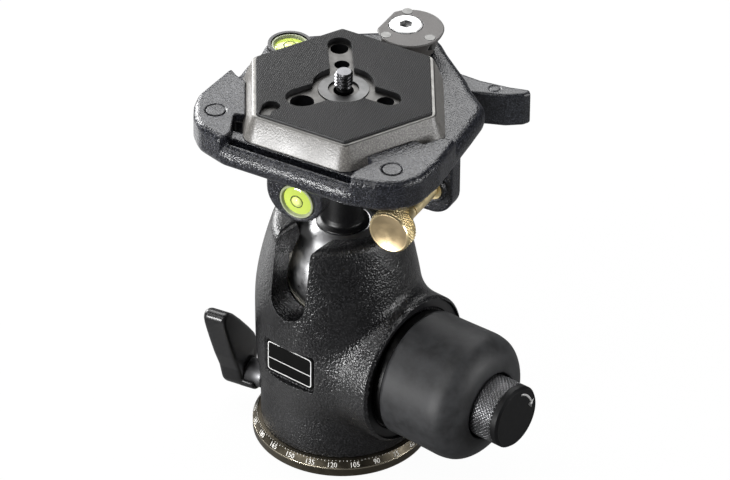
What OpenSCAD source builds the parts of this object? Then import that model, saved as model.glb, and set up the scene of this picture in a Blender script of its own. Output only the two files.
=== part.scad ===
// Tripod ball head with a hexagonal quick-release plate.
// Millimetres. +Z is the pan axis, the origin is the middle of the base's
// underside, +X is the axis of the lock knob, and the notch faces -Y.

/* [Base] */
// radius of the base ring
base_r = 31; // [30:0.5:34]
// height of the base ring
base_h = 6.0; // [5.4:0.1:6.6]
// radius of the pan shaft
shaft_r = 9.0; // [8.6:0.1:9.4]
// radius of the shaft's foot
foot_r = 16; // [15.6:0.1:17]
// height of the shaft's foot
foot_h = 3.0; // [2.8:0.1:3.2]
// radius of the circle that the base screws stand on
base_screw_at = 12.5; // [12.2:0.1:12.8]
// radius of the tapped tripod hole
tripod_hole_r = 4.0; // [3.6:0.05:4.4]
// depth of the tapped tripod hole
tripod_hole_l = 12; // [10:0.5:14]

/* [Housing] */
// height of the lock knob axis over the housing's underside
knob_up = 32.2; // [31:0.1:35]
// wall between the bore and the bell's widest place
wall = 7.1; // [6.6:0.1:7.6]
// how far the boss stands out past the bell
boss_out = 4.2; // [3.9:0.1:4.6]
// radius of the boss
boss_r = 27; // [26.5:0.1:27.6]
// height of the rim over the ball
rim_over = 2.0; // [1.8:0.1:2.2]
// width of the label
label_w = 20.6; // [19:0.1:21]
// height of the label
label_h = 13.2; // [12:0.1:14]

/* [Ball] */
// radius of the ball
ball_r = 20.0; // [19.5:0.1:20.6]
// radius of the neck
neck_r = 7.1; // [6.8:0.1:7.3]
// length of the neck between the ball and the head's hub
neck_l = 19.3; // [18:0.1:21]

/* [Lock knob] */
// radius of the rubber grip
knob_r = 23.3; // [22.6:0.1:24]
// length of the knob's core in front of the grip's back face
knob_l = 22; // [20:0.5:25]
// radius of the friction knob
friction_r = 11.3; // [10.6:0.1:11.8]

/* [Pan lock] */
// angle of the pan lock axis behind the -X direction, degrees
pan_turn = 12; // [10:1:14]
// height of the pan lock axis over the housing's underside
pan_up = 4.7; // [4.3:0.1:5.2]

/* [Quick release] */
// turn of the quick-release body about the neck axis, degrees
head_turn = 9.5; // [0:0.5:12]
// height of the hub under the body
hub_h = 18.7; // [18:0.1:20.5]
// radius of the hub at its foot
hub_r = 12.6; // [12:0.1:13.8]
// thickness of the quick-release body
body_h = 8.3; // [7.6:0.1:9.1]
// height of the fixed jaws over the plate's seat
jaw_h = 3.7; // [3.4:0.1:4]
// height of the camera plate
plate_h = 8.7; // [8:0.1:9.5]
// half width of the plate across its flats, at the seat
plate_bottom = 34.3; // [33:0.1:37]
// how much narrower each side of the plate is at its top
plate_draft = 3.5; // [3.2:0.1:3.8]

/* [Camera screw] */
// outer radius of the camera screw's thread
screw_r = 3.175; // [2.9:0.025:3.4]
// length of the camera screw over the pad
screw_l = 5.2; // [4.7:0.1:5.7]

/* [Hidden] */
$fn = 96;
eps = 0.01;
slip = 0.03;          // radial play of parts fixed in each other
run = 0.05;           // radial play of parts that turn or slide
spindle_r = 4.5;      // radius of the lock spindle
spindle_x = 10;       // inner end of the lock spindle
bush_r = 8.0;         // outer radius of the spindle bush
bush_x = 15.1;        // inner end of the spindle bush
master_r = 5.0;       // radius of the master bore
brake_r = 10.0;       // radius of the brake piston
piston_h = 2.68;      // height of the brake piston
piston_gap = 0.3;     // oil space under the brake piston
shoe_r = 3.0;         // radius of the pan brake shoe and spindle
stud_r = 3.0;         // radius of the neck's stud
pin_r = 5.0;          // radius of the neck's pin in the hub
cam_shaft_r = 3.5;    // radius of the cam shaft
lever_boss_r = 8.0;   // radius of the pan lock lever about its axis
lock_hub_r = 4.8;     // radius of the pan lock's hub
rod_r = 3.0;          // radius of the plunger rod's wedge
stem_r = 1.0;         // radius of the plunger rod's stem
sleeve_r = 3.9;       // radius of the plunger's sleeve in the lug
catch_r = 1.5;        // radius of the catch pin
catch_drop = 1.7;     // how far the catch pin drops
catch_pull = 2.5;     // how far the plunger is pulled for that
catch_y = 0.5;        // y of the catch pin, in the head
level_r = 6.5;        // radius of a bubble level

liner_in = ball_r + run;              // inner radius of the ball liner
liner_out = ball_r + 0.65;            // outer radius of the ball liner
seat_r = liner_out + run;             // radius of the fixed ball seat
bore_r = seat_r + 0.5;                // bore of the housing
bell_r = bore_r + wall;               // widest radius of the bell
lobe_r = bore_r - 2.7;                // widest radius of the front lobe
notch_w = neck_r + 0.3;               // half width of the notch
flange_r = neck_r + 2.2;              // radius of the neck's flange
relief_r = flange_r + 0.4;            // room for the flange
floor_z = base_h + 0.3;               // underside of the housing
pan_z = floor_z + pan_up;             // height of the pan lock axis
knob_z = floor_z + knob_up;           // height of the lock knob axis
block_z = knob_z - 12.5;              // underside of the cylinder block
shaft_top = block_z + 0.2;            // top of the pan shaft
clip_z = shaft_top - 1.95;            // underside of the retaining ring
floor_screw_at = shaft_r + 7.5;       // circle of the floor screws
brake_z = knob_z + master_r + 0.8;    // floor of the brake cylinder
piston_top = brake_z + piston_gap + piston_h;
cup_z = piston_top + 0.02;            // underside of the brake cup
block_top = cup_z - 0.4;              // top of the cylinder block
ball_z = cup_z + ball_r + 2.2;        // height of the ball centre
seat_top = ball_z + 11;               // top of the inner parts
rim_z = ball_z + ball_r + rim_over;   // height of the rim
flat_z = ball_z + ball_r - 2.5;       // flat on top of the ball
label_z = knob_z + 3.5;               // height of the label's middle
boss_x = bell_r + boss_out;           // face of the boss
sink_r = boss_r - 1;                  // radius of the sink in the boss
sink_x = boss_x - 2.1;                // floor of the sink in the boss
knob_x = boss_x + 1.5;                // back face of the rubber grip
core_r = knob_r - 4.3;                // radius of the knob's core
core_x = knob_x + knob_l;             // front face of the knob's core
lever_at = bell_r + 7.7;              // back face of the pan lock lever
hub_z = flat_z + neck_l;              // underside of the head's hub
body_z = hub_z + hub_h;               // underside of the quick-release body
seat_z = body_z + body_h;             // seat of the camera plate
plate_z = seat_z + plate_h;           // top of the camera plate
plate_top = plate_bottom - plate_draft;
plate_tilt = atan(plate_draft / plate_h);
pad_z = plate_z + 0.9;                // top of the rubber pad
screw_tip_z = pad_z + screw_l;        // height of the camera screw's tip
cam_y = plate_bottom + 9.2;           // y of the cam axis, in the head
cam_r = cam_y - 0.9 - plate_top - 0.3;
cam_lever_z = body_z - 14;            // underside of the cam lever
rod_x = plate_bottom + 2.6;           // x of the plunger's axis, in the head
rod_z = body_z - 9.3;                 // height of the plunger's axis
catch_x = plate_bottom + 1.1;         // x of the catch pin, in the head
level_x = -(plate_bottom + 0.3);      // place of the top bubble level
level_y = plate_bottom - 10;
lug_y = 2.3 - plate_bottom;           // front face of the front lug
front_level_z = body_z - 11;          // height of the front bubble level

// ---- helpers ----

// A ring or disc about +Z, from height z0 to z1.
module ring(r, z0, z1, r_in = 0) {
    translate([0, 0, z0])
        difference() {
            cylinder(r = r, h = z1 - z0);
            if (r_in > 0)
                translate([0, 0, -1])
                    cylinder(r = r_in, h = z1 - z0 + 2);
        }
}

// Puts a piece made about +Z onto the lock knob axis, +Z becoming +X.
module on_knob_axis() {
    translate([0, 0, knob_z])
        rotate([0, 90, 0])
            children();
}

// Puts a piece made about +Z onto the pan lock axis, pointing outward.
module on_pan_lock_axis() {
    translate([0, 0, pan_z])
        rotate([0, 0, 180 + pan_turn])
            rotate([0, 90, 0])
                children();
}

// Turns a piece made in the head's own frame to where the head stands.
module in_head() {
    rotate([0, 0, head_turn])
        children();
}

// Cylinder along -Y in the head's frame, from y0 to y1.
module along_y(x, z, r, y0, y1) {
    translate([x, y1, z])
        rotate([90, 0, 0])
            cylinder(r = r, h = y1 - y0);
}

// Hexagonal frustum with the plate's draft, grown outward by gap.
module hex_frustum(gap, z0, z1) {
    low = plate_bottom + gap;
    difference() {
        translate([0, 0, z0])
            cylinder(r = low + 10, h = z1 - z0);
        for (k = [0 : 5])
            rotate([0, 0, 30 + 60 * k])
                translate([low, -60, seat_z])
                    rotate([0, -plate_tilt, 0])
                        translate([0, 0, -30])
                            cube([60, 120, 90]);
    }
}

// ---- base ----

module base_ring() {
    color([0.35, 0.31, 0.22])
        difference() {
            rotate_extrude()
                polygon([[shaft_r + slip, 0], [base_r - 0.4, 0],
                    [base_r, 0.4], [base_r, base_h - 2.5],
                    [base_r - 1.6, base_h], [shaft_r + slip, base_h]]);
            ring(foot_r + slip, -1, foot_h + slip);
            ring(bore_r + 0.8, base_h - 0.5, base_h + 1, shaft_r + 3);
            base_screw_holes();
        }
}

module base_screw_holes() {
    for (k = [0 : 3])
        rotate([0, 0, 45 + 90 * k])
            translate([base_screw_at, 0, 0])
                ring(1.5 + slip, -1, base_h - 0.7, $fn = 48);
}

module pan_shaft() {
    color([0.62, 0.62, 0.60])
        difference() {
            union() {
                ring(foot_r, 0, foot_h);
                ring(shaft_r, foot_h - eps, shaft_top);
            }
            ring(tripod_hole_r, -1, tripod_hole_l);
            ring(shaft_r + 1, clip_z - 0.05, clip_z + 1.05, shaft_r - 0.6);
            base_screw_holes();
            for (k = [0 : 3])
                rotate([0, 0, 45 + 90 * k])
                    translate([base_screw_at, 0, 0])
                        ring(2.7, -1, foot_h / 2, $fn = 48);
        }
}

module base_screws() {
    color([0.5, 0.5, 0.5])
        for (k = [0 : 3])
            rotate([0, 0, 45 + 90 * k])
                translate([base_screw_at, 0, 0])
                    difference() {
                        union() {
                            ring(1.5, 0.3, base_h - 0.8, $fn = 48);
                            ring(2.6, 0.3, foot_h / 2 - 0.05, $fn = 48);
                        }
                        translate([0, 0, -1])
                            cylinder(r = 1.1, h = 2, $fn = 6);
                    }
}

module pan_washer() {
    color([0.85, 0.85, 0.80])
        ring(bore_r + 0.6, base_h - 0.5, floor_z - 0.02, shaft_r + 3.2);
}

module pan_retaining_ring() {
    color([0.3, 0.3, 0.32])
        difference() {
            ring(shaft_r + 2.4, clip_z, clip_z + 1, shaft_r - 0.6 + slip);
            translate([0, -2, clip_z - 1])
                cube([20, 4, 3]);
        }
}

// ---- housing ----

// Bell of the housing: one turned form on the pan axis, one set forward,
// the lobe that carries the notch, and the boss of the lock knob.
module housing_outside() {
    rotate_extrude($fn = 128)
        polygon([[0, floor_z], [bell_r - 0.7, floor_z],
            [bell_r - 0.1, floor_z + 1], [bell_r, floor_z + 16.7],
            [bell_r, knob_z - 2.5], [bell_r - 0.3, knob_z + 11.5],
            [bell_r - 1, ball_z - 9.5], [bell_r - 3.8, ball_z + 3.2],
            [bell_r - 5.1, ball_z + 10.5], [bell_r - 5.9, rim_z - 5.5],
            [bell_r - 6.7, rim_z], [0, rim_z]]);
    translate([0, -2.6, 0])
        rotate_extrude($fn = 128)
            polygon([[0, knob_z - 14.5], [bell_r - 2.7, knob_z - 14.5],
                [bell_r - 1.1, knob_z - 8.5], [bell_r - 0.3, knob_z - 2.5],
                [bell_r, knob_z + 9.5], [bell_r + 0.2, ball_z - 11.5],
                [bell_r - 0.1, ball_z - 5.5], [bell_r - 1, ball_z + 0.5],
                [bell_r - 2.3, ball_z + 7.1], [bell_r - 4.4, rim_z - 6.5],
                [bell_r - 6.5, rim_z], [0, rim_z]]);
    translate([0, 9.2 - bore_r, 0])
        rotate_extrude()
            polygon([[0, ball_z - 21.5], [lobe_r - 1.3, ball_z - 21.5],
                [lobe_r - 0.2, ball_z - 11.5], [lobe_r, ball_z - 5.5],
                [lobe_r - 0.2, ball_z + 0.5], [lobe_r - 0.9, ball_z + 10.5],
                [lobe_r - 1.9, rim_z], [0, rim_z]]);
    on_knob_axis()
        rotate_extrude($fn = 128)
            polygon([[0, 0], [bell_r - 0.1, 0], [bell_r - 0.5, boss_x - 20.5],
                [boss_r + 0.1, boss_x - 11.5], [boss_r, boss_x - 1.5],
                [boss_r - 0.4, boss_x - 0.5], [boss_r - 1.2, boss_x],
                [0, boss_x]]);
}

// Room that the neck's flange sweeps, about the axis of the front tilt
// and at the bottom of the notch.
module neck_relief() {
    intersection() {
        translate([0, 0, ball_z])
            rotate([0, 90, 0])
                rotate_extrude()
                    polygon([[0, -relief_r], [ball_r - 1, -relief_r],
                        [ball_r + 0.9, -notch_w], [ball_r + 0.9, notch_w],
                        [ball_r - 1, relief_r], [0, relief_r]]);
        translate([-15, -60, ball_z])
            cube([30, 60, 60]);
    }
    translate([0, 0, ball_z])
        rotate([90, 0, 0])
            rotate_extrude()
                polygon([[0, 0], [relief_r, 0], [relief_r, ball_r - 1],
                    [notch_w, ball_r + 0.9], [0, ball_r + 0.9]]);
}

// Notch in the front: straight, with a round bottom.
module notch() {
    translate([-notch_w, -60, ball_z])
        cube([2 * notch_w, 60, 60]);
    translate([0, 0, ball_z])
        rotate([90, 0, 0])
            cylinder(r = notch_w, h = 60);
    neck_relief();
}

module housing() {
    color([0.10, 0.10, 0.11])
        difference() {
            housing_outside();
            ring(bore_r, floor_z - 1, seat_top + eps);
            intersection() {
                translate([0, 0, ball_z])
                    sphere(r = seat_r, $fn = 128);
                ring(bore_r, seat_top - 0.5, ball_z + ball_r + 0.5);
            }
            rotate_extrude()
                polygon([[0, seat_top - 0.5], [ball_r - 4.9, seat_top - 0.5],
                    [ball_r - 4.9, ball_z + ball_r - 6],
                    [ball_r - 2.5, rim_z - 0.6], [ball_r - 1.9, rim_z],
                    [ball_r - 1.9, rim_z + 5], [0, rim_z + 5]]);
            notch();
            // flat facet for the label
            translate([-label_w / 2 - 0.9, -bell_r - 11.7, label_z - label_h / 2 - 1])
                cube([label_w + 1.8, 11.7, label_h + 2]);
            // sink in the boss, and the bore for the spindle bush
            on_knob_axis() {
                ring(sink_r, sink_x, boss_x + 8);
                ring(bush_r + slip, bush_x - 0.1, boss_x + 2);
            }
            // bore of the pan lock
            on_pan_lock_axis()
                ring(shoe_r + run, bore_r - 6, bell_r + 12);
            // screw plug of the oil gallery, at the back
            translate([0, bell_r + 4, knob_z])
                rotate([90, 0, 0])
                    cylinder(r = 4 + slip, h = wall + 7);
        }
}

module housing_floor() {
    color([0.55, 0.55, 0.56])
        difference() {
            ring(bore_r - slip, floor_z, block_z, shaft_r + run);
            ring(shaft_r + 3.2, clip_z - 0.25, block_z + 1);
            on_pan_lock_axis()
                ring(shoe_r + run, 5, bore_r + 9);
            floor_screw_holes();
        }
}

module floor_screw_holes() {
    for (k = [0 : 3])
        rotate([0, 0, 45 + 90 * k])
            translate([floor_screw_at, 0, 0]) {
                ring(1.75, 0, block_z + 8, $fn = 48);
                ring(3.05, 0, floor_z + 3.3, $fn = 48);
            }
}

module floor_screws() {
    color([0.5, 0.5, 0.5])
        for (k = [0 : 3])
            rotate([0, 0, 45 + 90 * k])
                translate([floor_screw_at, 0, 0])
                    difference() {
                        union() {
                            ring(1.7, floor_z + 1.7, block_z + 7, $fn = 48);
                            ring(3.0, floor_z + 0.9, floor_z + 3.2, $fn = 48);
                        }
                        translate([0, 0, floor_z - 0.3])
                            cylinder(r = 1.3, h = 2.5, $fn = 6);
                    }
}

module hydraulic_block() {
    color([0.60, 0.61, 0.63])
        difference() {
            ring(bore_r - slip, block_z, block_top);
            // master bore, gallery and brake cylinder
            on_knob_axis()
                ring(master_r + run, -9, 30);
            translate([-5, 0, knob_z])
                cylinder(r = 1.5, h = brake_z - knob_z + 0.5);
            ring(brake_r + run, brake_z, block_top + 4);
            // cross drilling, closed by the oil plug
            translate([-5, 0, knob_z])
                rotate([-90, 0, 0])
                    cylinder(r = 1.5, h = bore_r + 9);
            on_knob_axis()
                ring(bush_r + slip, bush_x - 0.1, boss_x + 2);
            // room over the end of the pan shaft
            ring(shaft_r + 2, block_z - 6, shaft_top + 1.8);
            floor_screw_holes();
        }
}

module upper_seat() {
    color([0.80, 0.79, 0.74])
        difference() {
            ring(bore_r - slip, ball_z + 2, seat_top);
            translate([0, 0, ball_z])
                sphere(r = seat_r, $fn = 128);
            notch();
        }
}

module label_plate() {
    color([0.06, 0.06, 0.06])
        translate([0, -bell_r, label_z])
            rotate([90, 0, 0])
                linear_extrude(0.5)
                    difference() {
                        square([label_w, label_h], center = true);
                        for (sx = [-1, 1], sy = [-1, 1])
                            translate([sx * label_w / 2, sy * label_h / 2])
                                rotate(45)
                                    square(1.2, center = true);
                    }
}

module boss_ring() {
    color([0.05, 0.05, 0.05])
        on_knob_axis()
            ring(sink_r - slip, sink_x + 0.05, sink_x + 0.7, sink_r - 3.6);
}

module spindle_bush() {
    color([0.72, 0.58, 0.30])
        on_knob_axis()
            ring(bush_r, bush_x, sink_x + 0.9, spindle_r + run);
}

module oil_plug() {
    color([0.4, 0.4, 0.42])
        difference() {
            translate([0, bell_r - 0.3, knob_z])
                rotate([90, 0, 0])
                    cylinder(r = 4, h = wall - 1.1);
            translate([0, bell_r + 0.7, knob_z])
                rotate([90, 0, 0])
                    cylinder(r = 2, h = 3.5, $fn = 6);
        }
}

// ---- pan lock ----

// Outline of the lever, with x toward the back and y upward from the axis.
module lever_plan() {
    circle(r = lever_boss_r);
    polygon([[0, -lever_boss_r], [5.5, -5.8], [lever_boss_r, 0],
        [7.0, 6], [5.3, 12.5], [0.4, 18.6], [-5.7, 25.6], [-11.0, 31.2],
        [-14.6, 34.2], [-17.2, 34.8], [-18.8, 33.8], [-19.2, 32.0],
        [-18.6, 29.5], [-17.0, 25.2], [-14.5, 19.0], [-11.5, 12.0],
        [-7.8, 4.6], [-6.4, -1.4], [-3.6, -5.9]]);
}

module pan_lock_lever() {
    color([0.08, 0.08, 0.08])
        on_pan_lock_axis()
            difference() {
                rotate([0, 0, 90])
                    mirror([1, 0, 0]) {
                        translate([0, 0, lever_at])
                            linear_extrude(8.6)
                                lever_plan();
                        // skirt under the hub
                        translate([0, 0, lever_at - 4.2])
                            linear_extrude(4.2 + eps)
                                difference() {
                                    circle(r = lever_boss_r);
                                    circle(r = lock_hub_r + 0.3);
                                    translate([-20, -1])
                                        square([40, 20]);
                                }
                    }
                ring(4.6 + slip, lever_at + 5.6, lever_at + 14);
                ring(shoe_r + slip, lever_at - 6, lever_at + 14);
            }
}

module pan_lock_hub() {
    color([0.55, 0.55, 0.55])
        on_pan_lock_axis()
            ring(lock_hub_r, bell_r + 0.9, lever_at, shoe_r + slip);
}

module pan_lock_cap() {
    color([0.55, 0.55, 0.55])
        on_pan_lock_axis()
            difference() {
                ring(4.6, lever_at + 5.6 + eps, lever_at + 8);
                translate([0, 0, lever_at + 6.6])
                    cylinder(r = 2, h = 3, $fn = 6);
            }
}

module pan_lock_spindle() {
    color([0.6, 0.6, 0.6])
        on_pan_lock_axis()
            ring(shoe_r, shaft_r + 5.4, lever_at + 5.55);
}

module pan_brake_shoe() {
    color([0.75, 0.60, 0.30])
        difference() {
            on_pan_lock_axis()
                ring(shoe_r, shaft_r - 0.5, shaft_r + 5);
            ring(shaft_r + 0.35, 0, block_z);
        }
}

// ---- lock knob ----

module knob_core() {
    color([0.16, 0.16, 0.17])
        on_knob_axis()
            difference() {
                union() {
                    ring(sink_r - 4, sink_x + 1.3, knob_x);
                    ring(core_r, knob_x - eps, core_x);
                }
                ring(spindle_r + slip, sink_x, core_x + 8);
                for (k = [0 : 1])
                    rotate([0, 0, 90 * k])
                        translate([0, 0, knob_x + 4])
                            rotate([0, 90, 0])
                                cylinder(r = 1.5 + slip, h = 30, $fn = 48);
            }
}

module knob_grub_screws() {
    grub_l = core_r - spindle_r - 0.6;
    color([0.35, 0.35, 0.36])
        on_knob_axis()
            for (k = [0 : 1])
                rotate([0, 0, 90 * k])
                    translate([spindle_r + 0.05, 0, knob_x + 4])
                        rotate([0, 90, 0])
                            difference() {
                                cylinder(r = 1.5, h = grub_l, $fn = 48);
                                translate([0, 0, grub_l - 2])
                                    cylinder(r = 0.8, h = 3, $fn = 6);
                            }
}

module knob_grip() {
    color([0.19, 0.19, 0.20])
        on_knob_axis()
            rotate_extrude($fn = 128)
                polygon([[core_r + slip, knob_x], [knob_r - 1, knob_x],
                    [knob_r - 0.6, knob_x + 0.5], [knob_r - 0.6, knob_x + 7],
                    [knob_r - 0.1, core_x - 0.5], [knob_r - 0.7, core_x + 2.9],
                    [knob_r - 1.9, core_x + 5], [knob_r - 3.5, core_x + 6.7],
                    [knob_r - 5.5, core_x + 8.2], [knob_r - 7.8, core_x + 9.1],
                    [friction_r + 1.6, core_x + 9.5],
                    [friction_r + 1, core_x + 9.3],
                    [friction_r + 0.7, core_x + 8.8],
                    [friction_r + 0.7, core_x + 0.02],
                    [core_r + slip, core_x + 0.02]]);
}

module lock_spindle() {
    color([0.66, 0.66, 0.66])
        on_knob_axis()
            ring(spindle_r, spindle_x, core_x - 0.1, 2 + run);
}

module friction_knob() {
    color([0.13, 0.13, 0.14])
        on_knob_axis()
            difference() {
                rotate_extrude()
                    polygon([[0, core_x + 0.4], [friction_r - 0.7, core_x + 0.4],
                        [friction_r - 0.7, core_x + 8],
                        [friction_r, core_x + 8], [friction_r, core_x + 19.6],
                        [friction_r - 0.8, core_x + 20.4],
                        [0, core_x + 20.4]]);
                ring(2 + slip, core_x - 2, core_x + 8);
            }
}

module friction_spindle() {
    color([0.70, 0.70, 0.70])
        on_knob_axis()
            ring(2, spindle_x, core_x + 7.5);
}

module friction_spring() {
    color([0.5, 0.5, 0.52])
        on_knob_axis()
            ring(4.3, spindle_x - 3.8, spindle_x - 0.2, 3.2);
}

// ---- hydraulics ----

module master_piston() {
    color([0.70, 0.70, 0.72])
        on_knob_axis()
            difference() {
                union() {
                    ring(master_r, spindle_x - 9, spindle_x - 4);
                    ring(2.6, spindle_x - 4 - eps, spindle_x - 0.3);
                }
                ring(master_r + 1, spindle_x - 7.2, spindle_x - 5.8, master_r - 0.9);
            }
}

module master_piston_seal() {
    color([0.1, 0.1, 0.1])
        on_knob_axis()
            ring(master_r, spindle_x - 7.1, spindle_x - 5.9, master_r - 0.9 + slip);
}

module brake_piston() {
    color([0.70, 0.70, 0.72])
        difference() {
            ring(brake_r, brake_z + piston_gap, piston_top);
            ring(brake_r + 2, brake_z + 0.8, brake_z + 1.8, brake_r - 1);
        }
}

module brake_piston_seal() {
    color([0.1, 0.1, 0.1])
        ring(brake_r, brake_z + 0.9, brake_z + 1.7, brake_r - 1 + slip);
}

module brake_cup() {
    color([0.80, 0.79, 0.74])
        difference() {
            ring(bore_r - 2.2, cup_z, ball_z - 11.5);
            translate([0, 0, ball_z])
                sphere(r = liner_out + 0.35, $fn = 128);
        }
}

// ---- ball and neck ----

module ball_liner() {
    color([0.30, 0.30, 0.30])
        difference() {
            translate([0, 0, ball_z])
                sphere(r = liner_out, $fn = 128);
            translate([0, 0, ball_z])
                sphere(r = liner_in, $fn = 128);
            ring(30, ball_z + 12.8, ball_z + 30);
            translate([-relief_r, -40, ball_z])
                cube([2 * relief_r, 40, 40]);
            translate([0, 0, ball_z])
                rotate([90, 0, 0])
                    cylinder(r = relief_r, h = 40);
        }
}

module ball() {
    color([0.12, 0.12, 0.13])
        difference() {
            translate([0, 0, ball_z])
                sphere(r = ball_r, $fn = 128);
            ring(30, flat_z, flat_z + 10);
            ring(stud_r + slip, ball_z - 3.5, flat_z + 10);
        }
}

module neck() {
    color([0.08, 0.08, 0.09])
        rotate_extrude()
            polygon([[stud_r + slip, flat_z], [flange_r, flat_z],
                [flange_r - 0.3, flat_z + 0.4],
                [neck_r + 0.4, flat_z + 1.6],
                [neck_r, flat_z + 2.2], [neck_r, hub_z - 0.6],
                [neck_r - 0.3, hub_z - 0.3], [pin_r, hub_z - 0.3],
                [pin_r, hub_z + 7.7], [stud_r + slip, hub_z + 7.7]]);
}

module neck_stud() {
    color([0.6, 0.6, 0.6])
        difference() {
            union() {
                ring(stud_r, ball_z - 2.5, hub_z + 7.8);
                ring(pin_r + 1.5, hub_z + 7.72, hub_z + 13.2);
            }
            translate([0, 0, hub_z + 10.2])
                cylinder(r = 2.9, h = 5, $fn = 6);
        }
}

// ---- quick-release body ----

module qr_hub() {
    color([0.09, 0.09, 0.10])
        difference() {
            rotate_extrude()
                polygon([[pin_r + run, hub_z], [hub_r, hub_z],
                    [hub_r + 0.5, hub_z + 0.5], [hub_r + 3.4, body_z - 4],
                    [hub_r + 3.4, body_z], [pin_r + 3, body_z],
                    [pin_r + 3, hub_z + 7.4], [pin_r + run, hub_z + 7.4]]);
            hub_bolt_holes();
        }
}

module hub_bolt_holes() {
    for (k = [0 : 2])
        rotate([0, 0, 90 + 120 * k])
            translate([pin_r + 7, 0, 0]) {
                ring(2 + slip, body_z - 8, body_z + 15, $fn = 48);
                ring(3.6, body_z + 3.4, body_z + 15, $fn = 48);
            }
}

module hub_bolts() {
    color([0.5, 0.5, 0.5])
        for (k = [0 : 2])
            rotate([0, 0, 90 + 120 * k])
                translate([pin_r + 7, 0, 0])
                    difference() {
                        union() {
                            ring(2, body_z - 7.5, body_z + 4, $fn = 48);
                            ring(3.5, body_z + 3.43, body_z + 6, $fn = 48);
                        }
                        translate([0, 0, body_z + 4.2])
                            cylinder(r = 1.5, h = 3, $fn = 6);
                    }
}

// Flat shape drawn round the plate. Each corner has its direction in degrees
// and how far it stands out past the plate's half width.
module rim_polygon(corners) {
    polygon([for (c = corners) (plate_bottom + c[1]) * [cos(c[0]), sin(c[0])]]);
}

// Plan of the body, in the head's frame.
module body_plan() {
    rim_polygon([[-120.3, 13.2], [-59.7, 13.2], [-48.1, 17.4],
        [-39.7, 19.7], [-31.4, 18.7], [-19.8, 14.8], [-3.2, 10.6],
        [12.9, 10.6], [25.7, 13], [32.4, 14.2], [45, 11.7], [54.6, 12.3],
        [73.8, 16.2], [79.7, 19.3], [85.9, 22.1], [94.1, 21.8],
        [98.7, 18.3], [106.2, 15.5], [122.8, 13.3], [130.7, 13.2],
        [136.2, 13.7], [142.6, 16.8], [149.1, 16.3], [154.1, 13.7],
        [158.1, 11.2], [163.5, 10], [170.6, 8.8], [178.6, 7.5],
        [-176.7, 8.9], [-154.7, 14.9], [-147.8, 16.3], [-140.8, 17.1],
        [-133, 17]]);
}

// Plan of the right-hand fixed jaw, before the plate's room is cut.
module right_jaw_plan() {
    rim_polygon([[-55.1, 8.4], [-46.5, 4.3], [-50.7, -5.9], [-17.4, -2.9],
        [-15.3, 3.2], [-5.6, 5.8], [-4.2, 7.9], [-7.7, 9.7], [-21.3, 13.6],
        [-32.5, 17.1], [-39.2, 17.9], [-46.6, 16.3]]);
}

// Plan of the left-hand fixed jaw, before the plate's room is cut.
module left_jaw_plan() {
    rim_polygon([[-125.2, 6.3], [-136.6, 3.8], [-129.3, -5.9],
        [-166.6, -1.4], [-172, 4.7], [-176.7, 8.7], [-164.5, 11],
        [-154.1, 13.8], [-146.3, 15], [-140, 15.5], [-133.3, 14.7],
        [-125.6, 12.7], [-122, 10.3]]);
}

module qr_body() {
    color([0.24, 0.26, 0.30])
        in_head()
            difference() {
                union() {
                    translate([0, 0, body_z])
                        linear_extrude(seat_z - body_z)
                            body_plan();
                    // fixed jaws
                    translate([0, 0, seat_z - eps])
                        linear_extrude(jaw_h)
                            right_jaw_plan();
                    translate([0, 0, seat_z - eps])
                        linear_extrude(jaw_h)
                            left_jaw_plan();
                    // front lug with the bubble level
                    translate([-12, lug_y, front_level_z + 2.6])
                        cube([22, 6, body_z - front_level_z - 2]);
                    along_y(-1, front_level_z + 2.6, 11, lug_y, lug_y + 6);
                    // right lug with the safety plunger
                    along_y(rod_x - 1.0, body_z - 12, 8, -3.5, 3.0);
                    translate([rod_x - 9.9, -3.5, body_z - 20])
                        cube([8.9, 6.5, 19]);
                    translate([rod_x - 9.9, -3.5, body_z - 12])
                        cube([16.9, 6.5, 12 + eps]);
                    along_y(rod_x, rod_z, sleeve_r + 1.1, -5.2, -3);
                }
                // room for the plate between the jaws
                hex_frustum(0.15, seat_z, seat_z + 6);
                // front rail and the groove behind it
                translate([-23.4, -plate_bottom - 4.7, body_z + 2])
                    cube([46.8, 4.5, 20]);
                translate([-23.4, -plate_bottom - 10.7, body_z + 6])
                    cube([46.8, 10, 20]);
                // windows in the floor under the jaws
                for (x = [-28.4, 22.0])
                    translate([x, 4.1 - plate_bottom, body_z - 5])
                        cube([6.4, 6.0, body_h + 5]);
                // pocket over the hub, cam shaft, hub bolts
                ring(18, body_z + 6.2, seat_z + 7);
                translate([0, cam_y, 0])
                    ring(cam_shaft_r + run, body_z - 5, seat_z + 7);
                translate([0, cam_y, 0])
                    ring(7.2, body_z - 5, body_z + 4);
                rotate([0, 0, -head_turn])
                    hub_bolt_holes();
                // top bubble level
                translate([level_x, level_y, 0])
                    ring(level_r + 1.2 + slip, body_z + 1.8, seat_z + 7);
                // front bubble level
                along_y(0, front_level_z, level_r + slip, lug_y - 8, lug_y + 5);
                // sleeve of the plunger, and the catch pin
                along_y(rod_x, rod_z, sleeve_r + slip, -20, 5);
                translate([catch_x, catch_y, 0])
                    ring(catch_r + run, rod_z, seat_z + 7, $fn = 48);
            }
}

module front_level_vial() {
    color([0.80, 0.88, 0.35])
        in_head()
            along_y(0, front_level_z, level_r, lug_y - 0.4, lug_y + 4.9);
}

module top_level_vial() {
    color([0.80, 0.88, 0.35])
        in_head()
            translate([level_x, level_y, 0])
                ring(level_r + 0.1, body_z + 2, seat_z + 0.3);
}

module top_level_ring() {
    color([0.15, 0.15, 0.15])
        in_head()
            translate([level_x, level_y, 0])
                ring(level_r + 1.2, body_z + 1.9, seat_z + 0.7, level_r + 0.1 + slip);
}

// ---- camera plate ----

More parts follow.
